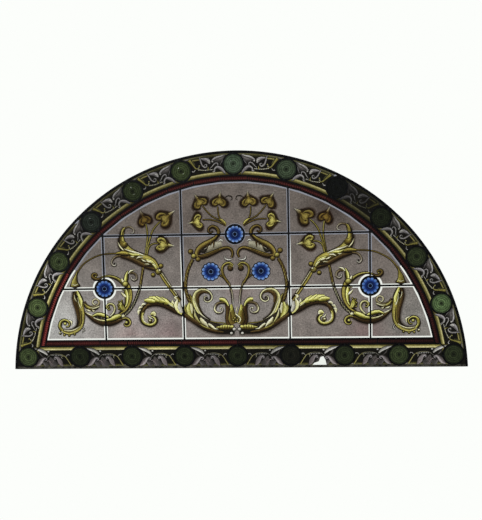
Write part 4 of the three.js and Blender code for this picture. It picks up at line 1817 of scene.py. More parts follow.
# Painted ornament


@dataclass
class BorderOrnament:
    """The leaves, stems and fillets painted on the border's panels.

    One drawing serves every bay. It is given by the distance along the bay from its middle, towards
    the crown on the arch, and by the inset from the window's edge.
    """

    leading: Leading
    painting: Painting
    arch_light: tuple[float, ...] = (0.95, 1.12, 0.8, 0.74, 0.8, 0.85, 0.92, 0.85, 0.4, 0.78, 0.88, 0.95)
    base_light: tuple[float, ...] = (0.92, 0.9, 0.98, 0.85, 0.85, 0.98, 0.9, 0.98)
    fillet: tuple[float, float] = (96.5, 8.6)
    rim_band: tuple[float, float] = (18.0, 7.0)
    rim: Pigment = Pigment("1a190d", "23220f", "454329", "6c694a")
    pale: Pigment = Pigment("14130f", "403d3c", "7f7a7c", "b9b5b8")
    bright: Pigment = Pigment("14130f", "5c5954", "a5a29e", "e4e2dd")
    mauve: Pigment = Pigment("14100e", "352e2e", "6f6464", "aba09f")
    shady: Pigment = Pigment("100f0d", "22201e", "4a4644", "767170")
    fillet_paint: Pigment = Pigment("1a1808", "4e4a22", "8e854b", "cdc58c")
    sill_fillet_paint: Pigment = Pigment("1a1808", "66602e", "b3a968", "ded7a4")

    def arch_place(self, bay: int) -> Callable[[np.ndarray], np.ndarray]:
        """Where the drawing of an arch bay lies in the window's plane.

        Args:
            bay: the bay's number, from the left.

        Returns:
            What turns the drawing's points to the window's.
        """
        g = self.leading
        start, end = g.bay_angles(bay)
        mid = (start + end) / 2
        sense = -1.0 if bay < g.arch_bays / 2 else 1.0

        def place(p: np.ndarray) -> np.ndarray:
            """Bends the drawing along the arch.

            Args:
                p: points of the drawing.

            Returns:
                Their places in the window's plane.
            """
            angle = mid + sense * p[:, 0] / (g.radius - g.arch_inset)
            reach = g.radius - p[:, 1]
            return np.stack([reach * np.cos(angle), g.centre_z + reach * np.sin(angle)], -1)

        return place

    def base_place(self, bay: int) -> Callable[[np.ndarray], np.ndarray]:
        """Where the drawing of a base bay lies, its leaf pair towards the corner.

        Args:
            bay: the bay's number, from the left.

        Returns:
            What turns the drawing's points to the window's.
        """
        g = self.leading
        mid = -g.corner_x + (bay + 0.5) * g.base_bay
        sense = -1.0 if bay < g.base_bays / 2 else 1.0
        squeeze = g.base_outer_came / g.arch_outer_came
        return lambda p: np.stack([mid + sense * p[:, 0], p[:, 1] * squeeze], -1)

    def bands(self, sill: bool) -> None:
        """The olive line along the rim and the yellow fillet along the lead.

        Args:
            sill: True for a bay along the sill.
        """
        lay = self.painting.ribbon
        yellow = self.sill_fillet_paint if sill else self.fillet_paint
        middle, half = self.rim_band
        lay([(-112, middle), (0, middle), (112, middle)], (half, half), self.rim, 1)
        lay([(-106, middle - 1), (-90, middle), (-72, middle - 1)], (1.4, 2.6, 1.4), self.pale, 0.4)
        if not sill:
            lay([(-72, middle + 8), (-50, middle + 8), (-26, middle + 9)], (2, 4, 2.4), yellow, 0.6)
        lay([(-20, middle), (10, middle - 3), (60, middle)], (1.2, 2.4, 1.2), self.rim, 0.4, OLIVE)
        middle, half = self.fillet
        lay([(-114, middle), (-20, middle), (30, middle)], (half, half), yellow, 1.2)
        lay([(28, middle), (70, middle), (114, middle)], (half, half), yellow, 1.2, OLIVE)

    def dot(self, centre: Point, radius: float) -> None:
        """Paints one small pale dot."""
        self.painting.spot(centre, radius, 6, self.bright.light, self.bright.body)

    def stems(self) -> None:
        """The thin yellow stem that sweeps from the rim to the leaves, with its curls and its row of dots."""
        lay, ball = self.painting.ribbon, self.painting.ball
        lay([(-62, 24), (-56, 36), (-50, 48)], (3, 6, 2), self.rim, 0.6)
        lay(
            [(-70, 20), (-64, 32), (-57, 46), (-52, 58), (-44, 65), (-32, 71), (-14, 75), (6, 75), (24, 77)],
            (6.4, 4.6, 3.6, 3.8, 3.2, 2.4, 2.2, 2.2, 1.6), STEM, 1.2,
        )
        for k in range(9):
            self.dot((-38 + k * 7.2, 68.5 + min(k, 4) * 1.7), 2.2)
        lay([(-46, 64), (-38, 63), (-32, 55)], (3, 3.6, 3), STEM, 1, self.bright)
        ball((-32, 53), 4.6, STEM, 1.2, 10)
        lay([(-52, 66), (-60, 73), (-69, 70), (-69, 60)], (2.2, 3, 3.4, 2.4), self.bright, 1)
        lay([(4, 76), (5, 68), (5, 60)], (4, 2.4, 0.6), STEM, 0.8)

    def sill_stems(self) -> None:
        """The finer stem of a bay along the sill, arched over the dark ground with its curls and dots."""
        lay = self.painting.ribbon
        lay(
            [(-76, 16), (-68, 30), (-60, 44), (-52, 57), (-40, 66), (-20, 71), (0, 71), (16, 67), (28, 58),
             (36, 48)],
            (3.6, 3, 3, 3, 2.8, 2.2, 2, 1.8, 1.6, 1), STEM, 1.2, self.bright,
        )
        for k in range(7):
            self.dot((-34 + k * 7.2, 63 + min(k, 3) * 0.9), 2)
        lay([(-48, 61), (-38, 62), (-33, 54), (-38, 49)], (2, 2.6, 2.4, 1.2), STEM, 1, self.bright)
        lay([(-54, 58), (-60, 67), (-68, 67), (-71, 59)], (1.6, 2.4, 2.8, 1.8), self.bright, 1)
        lay([(-62, 20), (-48, 17), (-34, 19)], (1.2, 2.2, 1), STEM, 0.8)

    def leaves(self) -> None:
        """The coiled leaf in the middle of an arch bay and the pair of pale leaves beside it."""
        lay, ball = self.painting.ribbon, self.painting.ball
        lay([(-20, 24), (-4, 29), (8, 36), (14, 50)], (4, 8, 10, 4), self.pale, 1.4)
        lay([(4, 34), (12, 40), (13, 49)], (2, 6, 2), self.bright, 0.4)
        lay(
            [(-27, 12), (-23, 28), (-22, 42), (-18, 55), (-9, 63), (-1, 60), (0, 52), (-7, 50), (-10, 56)],
            (1, 3.6, 4, 4, 4, 3.8, 3.2, 2.6, 1.4), self.pale, 1.2, self.bright,
        )
        lay([(26, 42), (40, 38), (58, 40), (70, 34), (82, 16)], (3, 12, 16, 12, 1), self.shady, 1.6)
        lay([(24, 38), (42, 28), (62, 24), (82, 16)], (4, 7, 5, 1), self.pale, 1, self.bright)
        lay([(76, 28), (68, 44), (56, 60)], (1, 2.4, 1), self.pale, 0.8)
        ball((26, 42), 5.4, self.bright, 1.4, 10)
        lay(
            [(12, 70), (24, 62), (34, 52), (44, 50), (49, 57), (44, 64)],
            (2, 3, 4, 4, 3.6, 2.4), self.bright, 1.4, self.pale,
        )
        lay(
            [(30, 82), (36, 72), (48, 69), (60, 76), (70, 88), (80, 100)],
            (5, 7, 8, 8, 7, 1.4), self.pale, 1.6, lobes=(2, 0),
        )
        lay([(22, 84), (28, 87), (34, 82)], (2, 4, 2), self.bright, 1.2)
        lay([(31, 76), (36, 71), (46, 68)], (2, 3.4, 1), self.bright, 0.4)

    def sill_leaves(self) -> None:
        """The broad rolled leaves of a bay along the sill."""
        lay, ball = self.painting.ribbon, self.painting.ball
        lay([(-10, 12), (6, 24), (14, 38), (18, 56)], (17, 19, 14, 3), self.shady, 1)
        lay([(30, 12), (40, 26), (52, 34)], (12, 12, 5), self.shady, 1)
        lay([(8, 14), (16, 30), (26, 40), (34, 36)], (2, 4, 4, 2), self.mauve, 0.6)
        lay(
            [(-40, 12), (-30, 24), (-24, 38), (-16, 52), (-6, 57), (0, 50), (-6, 44)],
            (3, 9, 12, 10, 8, 6, 3), self.mauve, 1.4, self.pale,
        )
        for x in (0, 8, 16):
            lay([(x, 52), (x + 4, 40), (x + 12, 26)], (0.6, 1.4, 0.8), self.mauve, 0.3)
        lay(
            [(84, 14), (68, 28), (58, 42), (46, 52), (36, 49), (38, 41), (46, 42)],
            (4, 12, 13, 10, 7, 5, 2), self.mauve, 1.6, self.pale,
        )
        lay([(50, 58), (60, 68), (68, 82)], (1.6, 4, 1.6), self.shady, 0.8)
        lay([(30, 66), (38, 76), (52, 86), (70, 93), (90, 99)], (4, 8, 9, 7, 1), self.bright, 1.4)
        ball((26, 84), 6, self.bright, 1.4, 10)

    def paint(self) -> None:
        """Paints every bay."""
        places = [(self.arch_place(b), light, False) for b, light in enumerate(self.arch_light)]
        places += [(self.base_place(b), light, True) for b, light in enumerate(self.base_light)]
        for place, light, sill in places:
            self.painting.place = place
            self.painting.light = BORDER_LIGHT
            self.painting.dim = light
            self.bands(sill)
            if sill:
                self.sill_stems()
                self.sill_leaves()
            else:
                self.stems()
                self.leaves()
        self.painting.reset()


@dataclass
class RubyBeads:
    """The strips of the ruby fillet, painted with a row of beads."""

    leading: Leading
    painting: Painting
    pitch: float = 9.6
    tones: tuple[str, ...] = ("461415", "3b1112", "4e1617", "341011", "411314")
    bead: str = "a84e48"
    eye: str = "1a0808"
    edge: str = "0c0505"
    bead_radius: float = 3.6
    eye_radius: float = 1.9
    # the number of the strip that each light ends before, from the left, and the light
    arch_light: tuple[tuple[int, float], ...] = ((3, 1.04), (14, 0.55), (21, 0.44))
    base_light: tuple[tuple[int, float], ...] = ((7, 0.58), (14, 0.33))

    def strip(self, ends: tuple[Point, Point, Point, Point], tone: str, beads: int) -> None:
        """Paints one strip.

        Args:
            ends: its outer and inner corner at the start, then at the end.
            tone: its red.
            beads: how many beads it carries.
        """
        a, b, c, d = (np.array(e) for e in ends)
        t = np.linspace(0, 1, 9)[:, None]
        outer, inner = a + (c - a) * t, b + (d - b) * t
        for lo, hi, first, second in (
            (-0.1, 0.22, self.edge, tone), (0.22, 0.78, tone, tone), (0.78, 1.1, tone, self.edge),
        ):
            self.painting.band(
                np.stack([outer + (inner - outer) * lo, outer + (inner - outer) * hi], 1), first, second,
            )
        for k in range(beads):
            s = (k + 0.5) / beads
            centre = ((a + (c - a) * s) + (b + (d - b) * s)) / 2
            self.painting.spot(tuple(centre), self.bead_radius, 8, self.bead, self.bead)
            self.painting.spot(tuple(centre), self.eye_radius, 6, self.eye, self.eye)

    def paint(self, net: LeadNet) -> None:
        """Paints every strip.

        Args:
            net: the leadwork, which gives where the strips end.
        """
        g = self.leading
        angles, places = net.strip_ends()
        for i, (a, b) in enumerate(zip(angles, angles[1:])):
            count = round(abs(b - a) * (g.radius - g.arch_inner_came) / self.pitch)
            corners = [g.on_arch(d, t) for t in (a, b) for d in (g.arch_outer_came, g.arch_inner_came)]
            self.painting.dim = next(light for end, light in self.arch_light if i < end)
            self.strip(tuple(corners), self.tones[i * 3 % 5], count)
        for i, (a, b) in enumerate(zip(places, places[1:])):
            self.painting.dim = next(light for end, light in self.base_light if i < end)
            count = round((b - a) / self.pitch)
            corners = [(x, z) for x in (a, b) for z in (g.base_outer_came, g.base_inner_came)]
            self.strip(tuple(corners), self.tones[i * 2 % 5], count)
        self.painting.reset()


# The foliage high in the field is browner than the foliage low in it, where the stain fired to lemon.
GOLD = Pigment("100a04", "221709", "604f20", "968745")
BRASS = Pigment("100a04", "291f0a", "786c30", "c8c06c")


@dataclass
class Scrollwork:
    """The foliage scrolls of the field, drawn for the left half and turned over for the right.

    Places are millimetres in the window's plane, from the middle of its straight edge.
    """

    leading: Leading
    painting: Painting
    fullness: float = 1.12

    def leaflets(
        self, spots: Sequence[tuple[Point, Point, Point]], width: float, pigment: Pigment = CREAM,
    ) -> None:
        """Paints pointed leaflets, each from its root over its middle to its tip."""
        for spot in spots:
            self.painting.ribbon(spot, (0.35 * width, width, 0.85 * width, 0.6), pigment, 1.8)

    def side_ring(self) -> None:
        """The thin stem round the side rosette and the husk that it grows from."""
        lay = self.painting.ribbon
        lay(
            [(-520, 514), (-560, 513), (-600, 507), (-640, 490), (-670, 470), (-690, 447), (-703, 425)],
            (4, 3.6, 4), GOLD, 2.2,
        )
        lay([(-736, 376), (-713, 369), (-690, 377)], (5, 7, 5), UMBER, shadow=3)
        lay([(-713, 372), (-714, 392), (-708, 414), (-700, 442)], (19, 12, 6, 1.4), BRASS, shadow=4)
        lay([(-726, 380), (-713, 375), (-700, 381)], (1.6, 2.6, 1.6), CREAM, 0.6)

    def outer_trunk(self) -> None:
        """The leafy trunk outside the side rosette, down to its coil."""
        lay, ball = self.painting.ribbon, self.painting.ball
        lay(
            [(-711, 350), (-706, 320), (-699, 288), (-694, 258), (-692, 230), (-695, 203), (-706, 183),
             (-726, 170), (-750, 163), (-778, 171)],
            (11, 21, 22, 18, 17, 15, 13, 11, 10, 7), AMBER, end=BRASS, lit=1, shadow=10,
        )
        lay([(-716, 340), (-721, 315), (-714, 285), (-705, 250), (-703, 215)], (4, 6, 7, 7, 3), UMBER, 1)
        lay([(-706, 348), (-700, 325), (-692, 300), (-690, 280)], (6, 11, 12, 5), LEMON, 2.4, lit=1)
        lay([(-708, 338), (-702, 318), (-701, 300), (-692, 274)], (1.2, 2.4, 2.4, 4.4), CREAM, 1.4)
        lay([(-718, 332), (-716, 314), (-709, 302)], (1.6, 2.4, 1.6), CREAM, 1)
        lay([(-690, 262), (-686, 235), (-688, 205), (-702, 184)], (2, 5, 5, 3), BRASS, 1, lit=1)
        lay([(-700, 190), (-722, 177), (-748, 171), (-772, 175)], (1.6, 2.8, 2.8, 2), CREAM, 0.6)
        lay(
            [(-778, 171), (-789, 190), (-785, 210), (-771, 220), (-754, 216), (-745, 203), (-751, 191),
             (-763, 191)],
            (8, 8, 8, 7.4, 6.6, 6, 5, 2.6), shadow=5,
        )
        ball((-765, 204), 8.5, LEMON)
        for x, z in ((-788, 160), (-770, 153), (-748, 151), (-724, 156)):
            ball((x, z), 7, BRASS)
        ball((-790, 163), 6, CREAM, 2)
        lay([(-686, 187), (-680, 174), (-691, 163)], (3.5, 5, 2), SILVER)
        lay([(-750, 221), (-736, 212), (-737, 196)], (4, 5.4, 2), CREAM, 2)
        self.painting.spot((-709, 324), 6.5, 8, KNOT_BLACK, KNOT_BLACK)

    def bowl(self) -> None:
        """The leafy bowl under the side rosette."""
        lay, ball = self.painting.ribbon, self.painting.ball
        lay(
            [(-674, 303), (-664, 287), (-648, 279), (-628, 279), (-612, 288), (-609, 301), (-619, 312),
             (-633, 309), (-638, 297), (-630, 288), (-620, 295)],
            (4, 5, 5, 5, 5, 5, 5, 4.6, 4.2, 3.6, 2), UMBER, 1.4, CREAM, shadow=3,
        )
        lay(
            [(-674, 292), (-662, 277), (-644, 269), (-624, 272), (-607, 281)],
            (5, 9, 10, 8, 2), BRASS, shadow=4,
        )
        lay([(-650, 274), (-630, 272), (-608, 280)], (2, 3.4, 3), CREAM, 0.8)
        self.leaflets([((-668, 268), (-658, 261), (-644, 259)), ((-640, 266), (-634, 258), (-628, 262))], 6)
        lay(
            [(-676, 256), (-658, 240), (-636, 224), (-608, 212), (-576, 207), (-540, 212), (-506, 222)],
            (3, 7, 12, 15, 15, 12, 5), UMBER, 3, shadow=10,
        )
        lay([(-672, 256), (-658, 246), (-640, 239)], (1.6, 4.4, 4), CREAM, 1.2)
        lay([(-640, 236), (-618, 244), (-594, 240), (-566, 228)], (5, 10, 11, 6), LEMON, lit=1)
        lay([(-636, 230), (-612, 219), (-584, 215), (-556, 220)], (3, 4.4, 4.4, 3), CREAM, 1.2, STAIN)
        ball((-610, 230), 6.5, INK)
        lay([(-582, 216), (-556, 222), (-530, 233), (-510, 240)], (7, 11, 13, 9), LEMON, lit=1)
        lay([(-572, 226), (-562, 230), (-550, 240)], (2, 4, 2), INK, 0.5)
        ball((-502, 235), 10, CREAM, 2.4)
        lay(
            [(-508, 223), (-492, 226), (-478, 218), (-474, 205), (-482, 194), (-495, 194), (-500, 204)],
            (4, 6.6, 7.6, 7.6, 7, 6, 3), BRASS, lit=1, shadow=7,
        )
        ball((-489, 207), 8, LEMON)
        lay(
            [(-560, 236), (-544, 252), (-539, 272), (-548, 288), (-564, 290), (-575, 278), (-569, 266),
             (-558, 268)],
            (4, 5.4, 5.4, 5.4, 5.4, 5, 4.6, 2.4), CREAM, 2.2, STAIN, shadow=5,
        )
        ball((-566, 276), 6, BRASS)

    def inner_trunk(self) -> None:
        """The leafy trunk inside the side rosette and the arc over it."""
        lay, ball = self.painting.ribbon, self.painting.ball
        lay(
            [(-484, 382), (-475, 350), (-473, 318), (-481, 287), (-498, 262), (-520, 244)],
            (10, 15, 14, 12, 10, 4), AMBER, lit=1, shadow=8,
        )
        lay(
            [(-489, 360), (-486, 336), (-484, 312), (-488, 286), (-498, 270)],
            (5, 10, 8, 6, 2), LEMON, 2, lit=1,
        )
        lay([(-474, 358), (-470, 335), (-474, 310)], (2, 3.4, 1.6), STAIN, 0.8)
        self.leaflets(
            [((-486, 320), (-498, 330), (-509, 343)), ((-486, 352), (-496, 356), (-506, 352))], 7, CREAM,
        )
        lay([(-498, 262), (-508, 272), (-512, 287), (-508, 302)], (8, 14, 14, 4), BRASS, end=STAIN, shadow=5)
        for x, z in ((-521, 268), (-523, 284), (-519, 299), (-506, 303)):
            ball((x, z), 6, BRASS)
        lay([(-505, 264), (-512, 280), (-507, 294)], (2, 5, 2), LEMON, 0.8)
        lay(
            [(-600, 404), (-585, 412), (-560, 414), (-532, 407), (-510, 393), (-494, 377)],
            (4, 5, 6.4, 7.4, 8, 8), BRASS, shadow=4,
        )
        lay(
            [(-592, 409), (-606, 401), (-622, 402), (-633, 412), (-629, 424), (-616, 424), (-612, 414)],
            (4, 6, 7.4, 7.4, 7, 5.4, 3), UMBER, end=GOLD, shadow=5,
        )
        ball((-619, 413), 6, BRASS)
        lay([(-486, 384), (-484, 405), (-480, 425), (-474, 436)], (8, 10, 9, 3), LEMON, lit=1, shadow=4)
        lay([(-474, 424), (-462, 436), (-444, 441)], (4, 6, 2), CREAM, 2.2)
        lay([(-504, 402), (-500, 392), (-494, 384)], (5, 7, 5), CREAM, 2.2)
        lay(
            [(-466, 425), (-452, 427), (-439, 417), (-437, 402), (-448, 394), (-459, 401), (-458, 413)],
            (3.4, 5, 5.6, 5.4, 5, 4.4, 2.4), UMBER, 1.8, SILVER, shadow=4,
        )
        ball((-488, 378), 15, STAIN)

    def long_stems(self) -> None:
        """The twisted stem from the acanthus above the rosette, and the straight one to the great leaf."""
        rope, ball = self.painting.rope, self.painting.ball
        rope([(-404, 462), (-410, 432), (-415, 405), (-421, 375)], 12, UMBER, BRASS, 22)
        rope([(-421, 375), (-427, 352), (-440, 318), (-456, 286), (-478, 256), (-506, 234)], 13, INK, CREAM)
        self.painting.ribbon(
            [(-334, 432), (-315, 398), (-290, 360), (-268, 328), (-246, 300)],
            (8.5, 7.5), AMBER, 2.6, lit=-1, shadow=6,
        )
        self.painting.ribbon([(-326, 426), (-308, 398), (-284, 362), (-262, 330)], (1.6, 1.8), CREAM, 0.4)
        for centre, radius, paint in (
            ((-339, 431), 15, BRASS), ((-328, 456), 12.5, AMBER), ((-363, 417), 11.5, AMBER),
            ((-334, 437), 7, CREAM),
        ):
            ball(centre, radius, paint)

    def upper_acanthus(self) -> None:
        """The acanthus that climbs from the knot over the side rosette, and the stems of three buds."""
        lay, stem, ball = self.painting.ribbon, self.painting.stem, self.painting.ball
        for path in (
            [(-388, 642), (-383, 605), (-384, 570), (-390, 535), (-396, 495)],
            [(-326, 650), (-348, 628), (-363, 604), (-372, 575), (-384, 540), (-390, 505)],
            [(-338, 556), (-360, 554), (-378, 540), (-388, 505)],
        ):
            stem(path, 8, 9.5, BRASS, outline=2.4)
        lay(
            [(-342, 447), (-362, 468), (-388, 482), (-416, 492), (-446, 505), (-474, 524), (-494, 550),
             (-499, 578), (-494, 604), (-482, 628)],
            (9, 19, 22, 21, 21, 20, 20, 13, 9, 5), AMBER, 3.4, BRASS, lit=-1, shadow=10,
        )
        lay(
            [(-350, 440), (-380, 450), (-410, 464), (-440, 480), (-470, 494), (-505, 502)],
            (6, 9, 10, 10, 10, 6), UMBER, 2.4, shadow=10,
        )
        lay([(-470, 510), (-492, 514), (-508, 514), (-525, 514)], (9, 12, 11, 4), AMBER, shadow=5)
        lay([(-478, 562), (-486, 550), (-497, 556), (-503, 570)], (8, 14, 12, 3), AMBER, 2.4)
        lay([(-492, 528), (-507, 546), (-514, 564)], (3, 4, 1), CREAM, 1.4)
        lay(
            [(-488, 534), (-470, 526), (-448, 519), (-424, 512), (-398, 503)],
            (2, 4.4, 5.4, 5, 1.6), CREAM, 1.4,
        )
        lay([(-470, 516), (-450, 506), (-432, 507), (-414, 504)], (3, 8, 8, 2), LEMON, 2)
        self.leaflets([((-436, 490), (-424, 496), (-404, 496)), ((-414, 488), (-404, 480), (-392, 476))], 5.5)
        self.leaflets([((-400, 466), (-390, 466), (-378, 464)), ((-444, 500), (-454, 498), (-462, 502))], 4.5)
        lay([(-398, 490), (-384, 482), (-368, 474), (-352, 462)], (2, 7, 8, 3), LEMON, 2)
        lay([(-392, 480), (-380, 476), (-368, 472)], (1.6, 4, 1.6), CREAM, 0.4)
        lay([(-366, 466), (-354, 456), (-348, 444)], (3, 7, 4), CREAM, 2, LEMON)
        lay([(-400, 458), (-382, 456), (-364, 452)], (2, 3.4, 2), INK, 0.4)
        lay([(-498, 586), (-494, 606), (-486, 622), (-474, 630)], (3, 5, 5, 2), BRASS, 1)
        lay(
            [(-482, 624), (-466, 630), (-450, 625), (-442, 612), (-448, 602), (-458, 605)],
            (3, 4, 4.4, 4, 3.6, 1.8), UMBER, 1.4, SILVER, shadow=3,
        )
        lay(
            [(-505, 503), (-526, 500), (-540, 488), (-546, 472), (-538, 460), (-527, 463), (-527, 473)],
            (5, 5, 5, 4.6, 4.6, 4, 2), UMBER, 1.8, SILVER, shadow=4,
        )
        ball((-533, 470), 4, INK)

    def side_buds(self) -> None:
        """The three buds beside the acanthus."""
        bud = self.painting.bud
        bud((-387, 642), (-414, 706), RUST)
        bud((-324, 650), (-256, 700), GOLD)
        bud((-338, 553), (-262, 542), BRASS)

    def top_buds(self) -> None:
        """The three buds beside the top rosette, with their stems."""
        bud, stem = self.painting.bud, self.painting.stem
        stem([(-138, 716), (-118, 690), (-92, 666), (-60, 652)], 7, 8, GOLD, outline=2.4)
        stem([(-140, 655), (-112, 656), (-80, 649), (-55, 638), (-38, 628)], 7.5, 9, GOLD, outline=2.6)
        stem([(-71, 712), (-71, 690), (-67, 668), (-55, 650)], 7, 8, GOLD, outline=2.4)
        self.painting.ribbon([(-66, 658), (-52, 648), (-38, 634)], (4, 9, 4), BRASS, 2.2)
        bud((-140, 716), (-174, 770), GOLD, 0.78)
        bud((-146, 650), (-206, 640), BRASS, 0.86)
        bud((-66, 716), (-58, 780), GOLD, 0.78)
        self.painting.ribbon(
            [(-40, 750), (-28, 757), (-12, 755), (-8, 743), (-16, 738)],
            (1.4, 2.6, 2.8, 2.2, 1.2), INK, 0.5,
        )

    def top_scroll(self) -> None:
        """The leafy scroll under the top rosette."""
        lay, ball = self.painting.ribbon, self.painting.ball
        lay([(-58, 548), (-86, 540), (-116, 528), (-140, 515)], (14, 18, 16, 6), FAWN, 1.2)
        lay(
            [
                (-74, 584), (-70, 602), (-80, 619), (-98, 626), (-113, 616), (-113, 602), (-101, 599),
                (-97, 608),
            ],
            (8, 8, 8, 7.4, 7, 6, 5, 2.6), GOLD, end=UMBER, shadow=5,
        )
        lay(
            [(-72, 592), (-88, 574), (-112, 558), (-138, 544), (-158, 528), (-167, 508), (-158, 494),
             (-138, 492)],
            (6, 9, 11, 13, 13, 12, 11, 9), GOLD, 3.4, lit=-1, shadow=7,
        )
        lay(
            [
                (-164, 496), (-136, 496), (-104, 508), (-72, 522), (-40, 532), (-20, 526), (-11, 508),
                (-17, 489),
            ],
            (8, 10, 10, 9, 8, 7, 6, 4), UMBER, 3, GOLD, shadow=7,
        )
        lay([(-152, 500), (-128, 505), (-98, 516), (-70, 527)], (2, 3, 3, 1.6), GOLD, 0.6)
        lay([(-152, 524), (-142, 517), (-130, 522), (-120, 534)], (5, 7, 6, 1.4), INK, 1)
        for x, z, low in ((-92, 560, 532), (-104, 556, 540), (-120, 546, 528)):
            lay([(x, z), (x - 1, (z + low) / 2), (x - 2, low)], (4.4, 3.4, 1), UMBER, 1)
        lay([(-72, 560), (-62, 566), (-52, 560)], (2, 5, 2), SILVER, 1.4)
        lay([(-13, 483), (-28, 478), (-43, 483), (-47, 497)], (2.6, 5, 5, 2), SILVER, 2.2)
        for centre, radius, paint in (
            ((-195, 517), 13, GOLD), ((-163, 483), 12.5, GOLD), ((-182, 497), 13, BRASS),
        ):
            ball(centre, radius, paint)

    def middle_stems(self) -> None:
        """The great C stem and the heart over the calyx."""
        lay, ball = self.painting.ribbon, self.painting.ball
        self.painting.rope(
            [(-186, 484), (-203, 452), (-214, 420), (-221, 380), (-220, 342), (-210, 308), (-196, 284)],
            14.5, UMBER, BRASS, 16,
        )
        lay([(-74, 414), (-60, 406), (-40, 388)], (4.6, 4.6), GOLD)
        lay(
            [(-15, 286), (-17, 320), (-22, 348), (-32, 378), (-48, 402)],
            (4.4, 4.6, 4.6, 5, 4), SILVER, 2.2, GOLD, lit=-1, shadow=4,
        )
        lay(
            [(-34, 378), (-50, 402), (-59, 428), (-56, 450), (-42, 463), (-24, 465), (-11, 454)],
            (5.6, 6, 6, 6, 6, 6, 5), GOLD, 2.4, BRASS, shadow=4,
        )
        ball((-23, 442), 14, UMBER, 3.4, 18)
        lay([(-36, 450), (-24, 456), (-13, 447)], (1.6, 3.2, 2), BRASS, 0.8)

    def big_leaf(self) -> None:
        """The great leaf that rolls up at the side, with its C scroll."""
        lay, ball = self.painting.ribbon, self.painting.ball
        self.leaflets([
            ((-398, 286), (-412, 287), (-422, 279)), ((-414, 276), (-426, 273), (-437, 262)),
            ((-422, 262), (-433, 256), (-434, 238)),
        ], 8)
        lay(
            [(-384, 284), (-403, 276), (-415, 256), (-421, 232), (-417, 211), (-403, 199), (-383, 194),
             (-366, 200), (-357, 214), (-362, 228), (-376, 234)],
            (7, 9, 9, 8.4, 8, 7.6, 7.6, 8, 8, 7, 4), BRASS, 3, LEMON, lit=1, shadow=7,
        )
        lay([(-392, 277), (-406, 268), (-415, 250)], (6, 7, 2), UMBER, 0.8)
        lay([(-413, 238), (-413, 216), (-400, 204), (-386, 203)], (1.6, 2.6, 2.6, 1.4), CREAM, 0.3)
        ball((-383, 213), 10.5, BRASS)
        ball((-384, 215), 5.5, CREAM, 1)
        lay([(-392, 238), (-384, 226), (-370, 222)], (2, 5.4, 2), CREAM, 2)
        lay([(-380, 240), (-366, 246), (-360, 236)], (5, 12, 6), LEMON, 2.6, CREAM)
        lay(
            [(-228, 238), (-262, 256), (-290, 272), (-318, 285), (-348, 291), (-374, 289), (-398, 280)],
            (9, 13, 14, 13, 12, 11, 8), UMBER, 3, shadow=11,
        )
        for path, widths in (
            ([(-268, 272), (-294, 286), (-312, 306)], (5, 12, 8)),
            ([(-290, 286), (-316, 299), (-334, 315)], (6, 15, 9)),
            ([(-316, 297), (-342, 305), (-357, 319)], (7, 16, 9)),
            ([(-340, 300), (-364, 308), (-386, 315)], (7, 16, 8)),
            ([(-360, 298), (-382, 303), (-407, 304)], (8, 14, 6)),
        ):
            lay(path, widths, LEMON, 2.4, lit=-1)
        lay([(-262, 264), (-282, 276), (-300, 290)], (1.4, 3, 2), CREAM, 0.4)
        lay(
            [(-238, 244), (-252, 262), (-262, 286), (-258, 308)],
            (10, 17, 16, 4), STAIN, end=CREAM, lit=1, shadow=5,
        )
        lay([(-242, 248), (-250, 270), (-250, 294)], (5, 9, 4), SILVER, 0.4)
        self.leaflets([((-262, 306), (-268, 316), (-256, 324)), ((-274, 286), (-282, 296), (-282, 308))], 7)

    def main_acanthus(self) -> None:
        """The great acanthus from the calyx out along the bottom, with the scroll inside it."""
        lay, ball = self.painting.ribbon, self.painting.ball
        lay([(-206, 330), (-197, 312), (-190, 286), (-184, 262)], (2, 8, 8, 3), BRASS, shadow=5)
        lay(
            [(-116, 212), (-146, 230), (-166, 254), (-178, 284), (-184, 312), (-176, 336), (-156, 348),
             (-132, 347), (-115, 336), (-107, 318), (-112, 303), (-127, 296), (-140, 303), (-139, 316),
             (-128, 320)],
            (4, 6, 8, 11, 12, 12, 10, 8, 7, 6, 5.4, 5.4, 5, 4, 2), STAIN, 2.4, CREAM, lit=1, shadow=6,
        )
        lay([(-166, 290), (-170, 314), (-160, 332), (-140, 339), (-122, 332)], (4, 7, 8, 6, 2), UMBER, 1)
        lay(
            [(-112, 208), (-142, 226), (-164, 250), (-178, 284), (-191, 316)],
            (1.6, 3, 3.2, 3, 1.6), CREAM, 0.8,
        )
        ball((-128, 311), 5, INK)
        lay(
            [(-10, 172), (-50, 172), (-90, 176), (-126, 188), (-160, 208), (-192, 230), (-236, 254)],
            (16, 18, 20, 23, 23, 22, 15), INK, 3, shadow=14,
        )
        lay(
            [(-60, 160), (-96, 165), (-130, 177), (-164, 196), (-200, 218), (-236, 240)],
            (3, 6, 8, 9, 9, 7), UMBER, 0.6,
        )
        lay([(-16, 181), (-45, 182), (-72, 180), (-92, 182)], (10, 13, 12, 3), STAIN, 2.6)
        for k in range(5):
            x = -30.0 - k * 11
            lay([(x, 171), (x - 2, 181), (x + 1, 191)], (0.8, 1.8, 0.8), UMBER, 0.4)
        lay([(-24, 190), (-56, 200), (-92, 203), (-118, 210)], (1.6, 2.8, 3, 2), BRASS, 1.2)
        lay([(-188, 264), (-184, 240), (-174, 218), (-158, 198)], (3, 5.4, 5, 1.4), CREAM, 1.4, STAIN)
        lay([(-160, 224), (-150, 208), (-134, 194), (-126, 182)], (5, 10, 8, 1.6), CREAM, 1.8)
        lay([(-126, 197), (-112, 188), (-98, 175), (-82, 174)], (5, 7, 5, 2), CREAM, 1.6)
        lay([(-162, 196), (-144, 184), (-120, 176)], (2, 4, 2), STAIN, 0.6)
        lay([(-206, 292), (-207, 268), (-202, 246), (-190, 222)], (6, 16, 15, 2), LEMON, 2.4, STAIN, lit=-1)
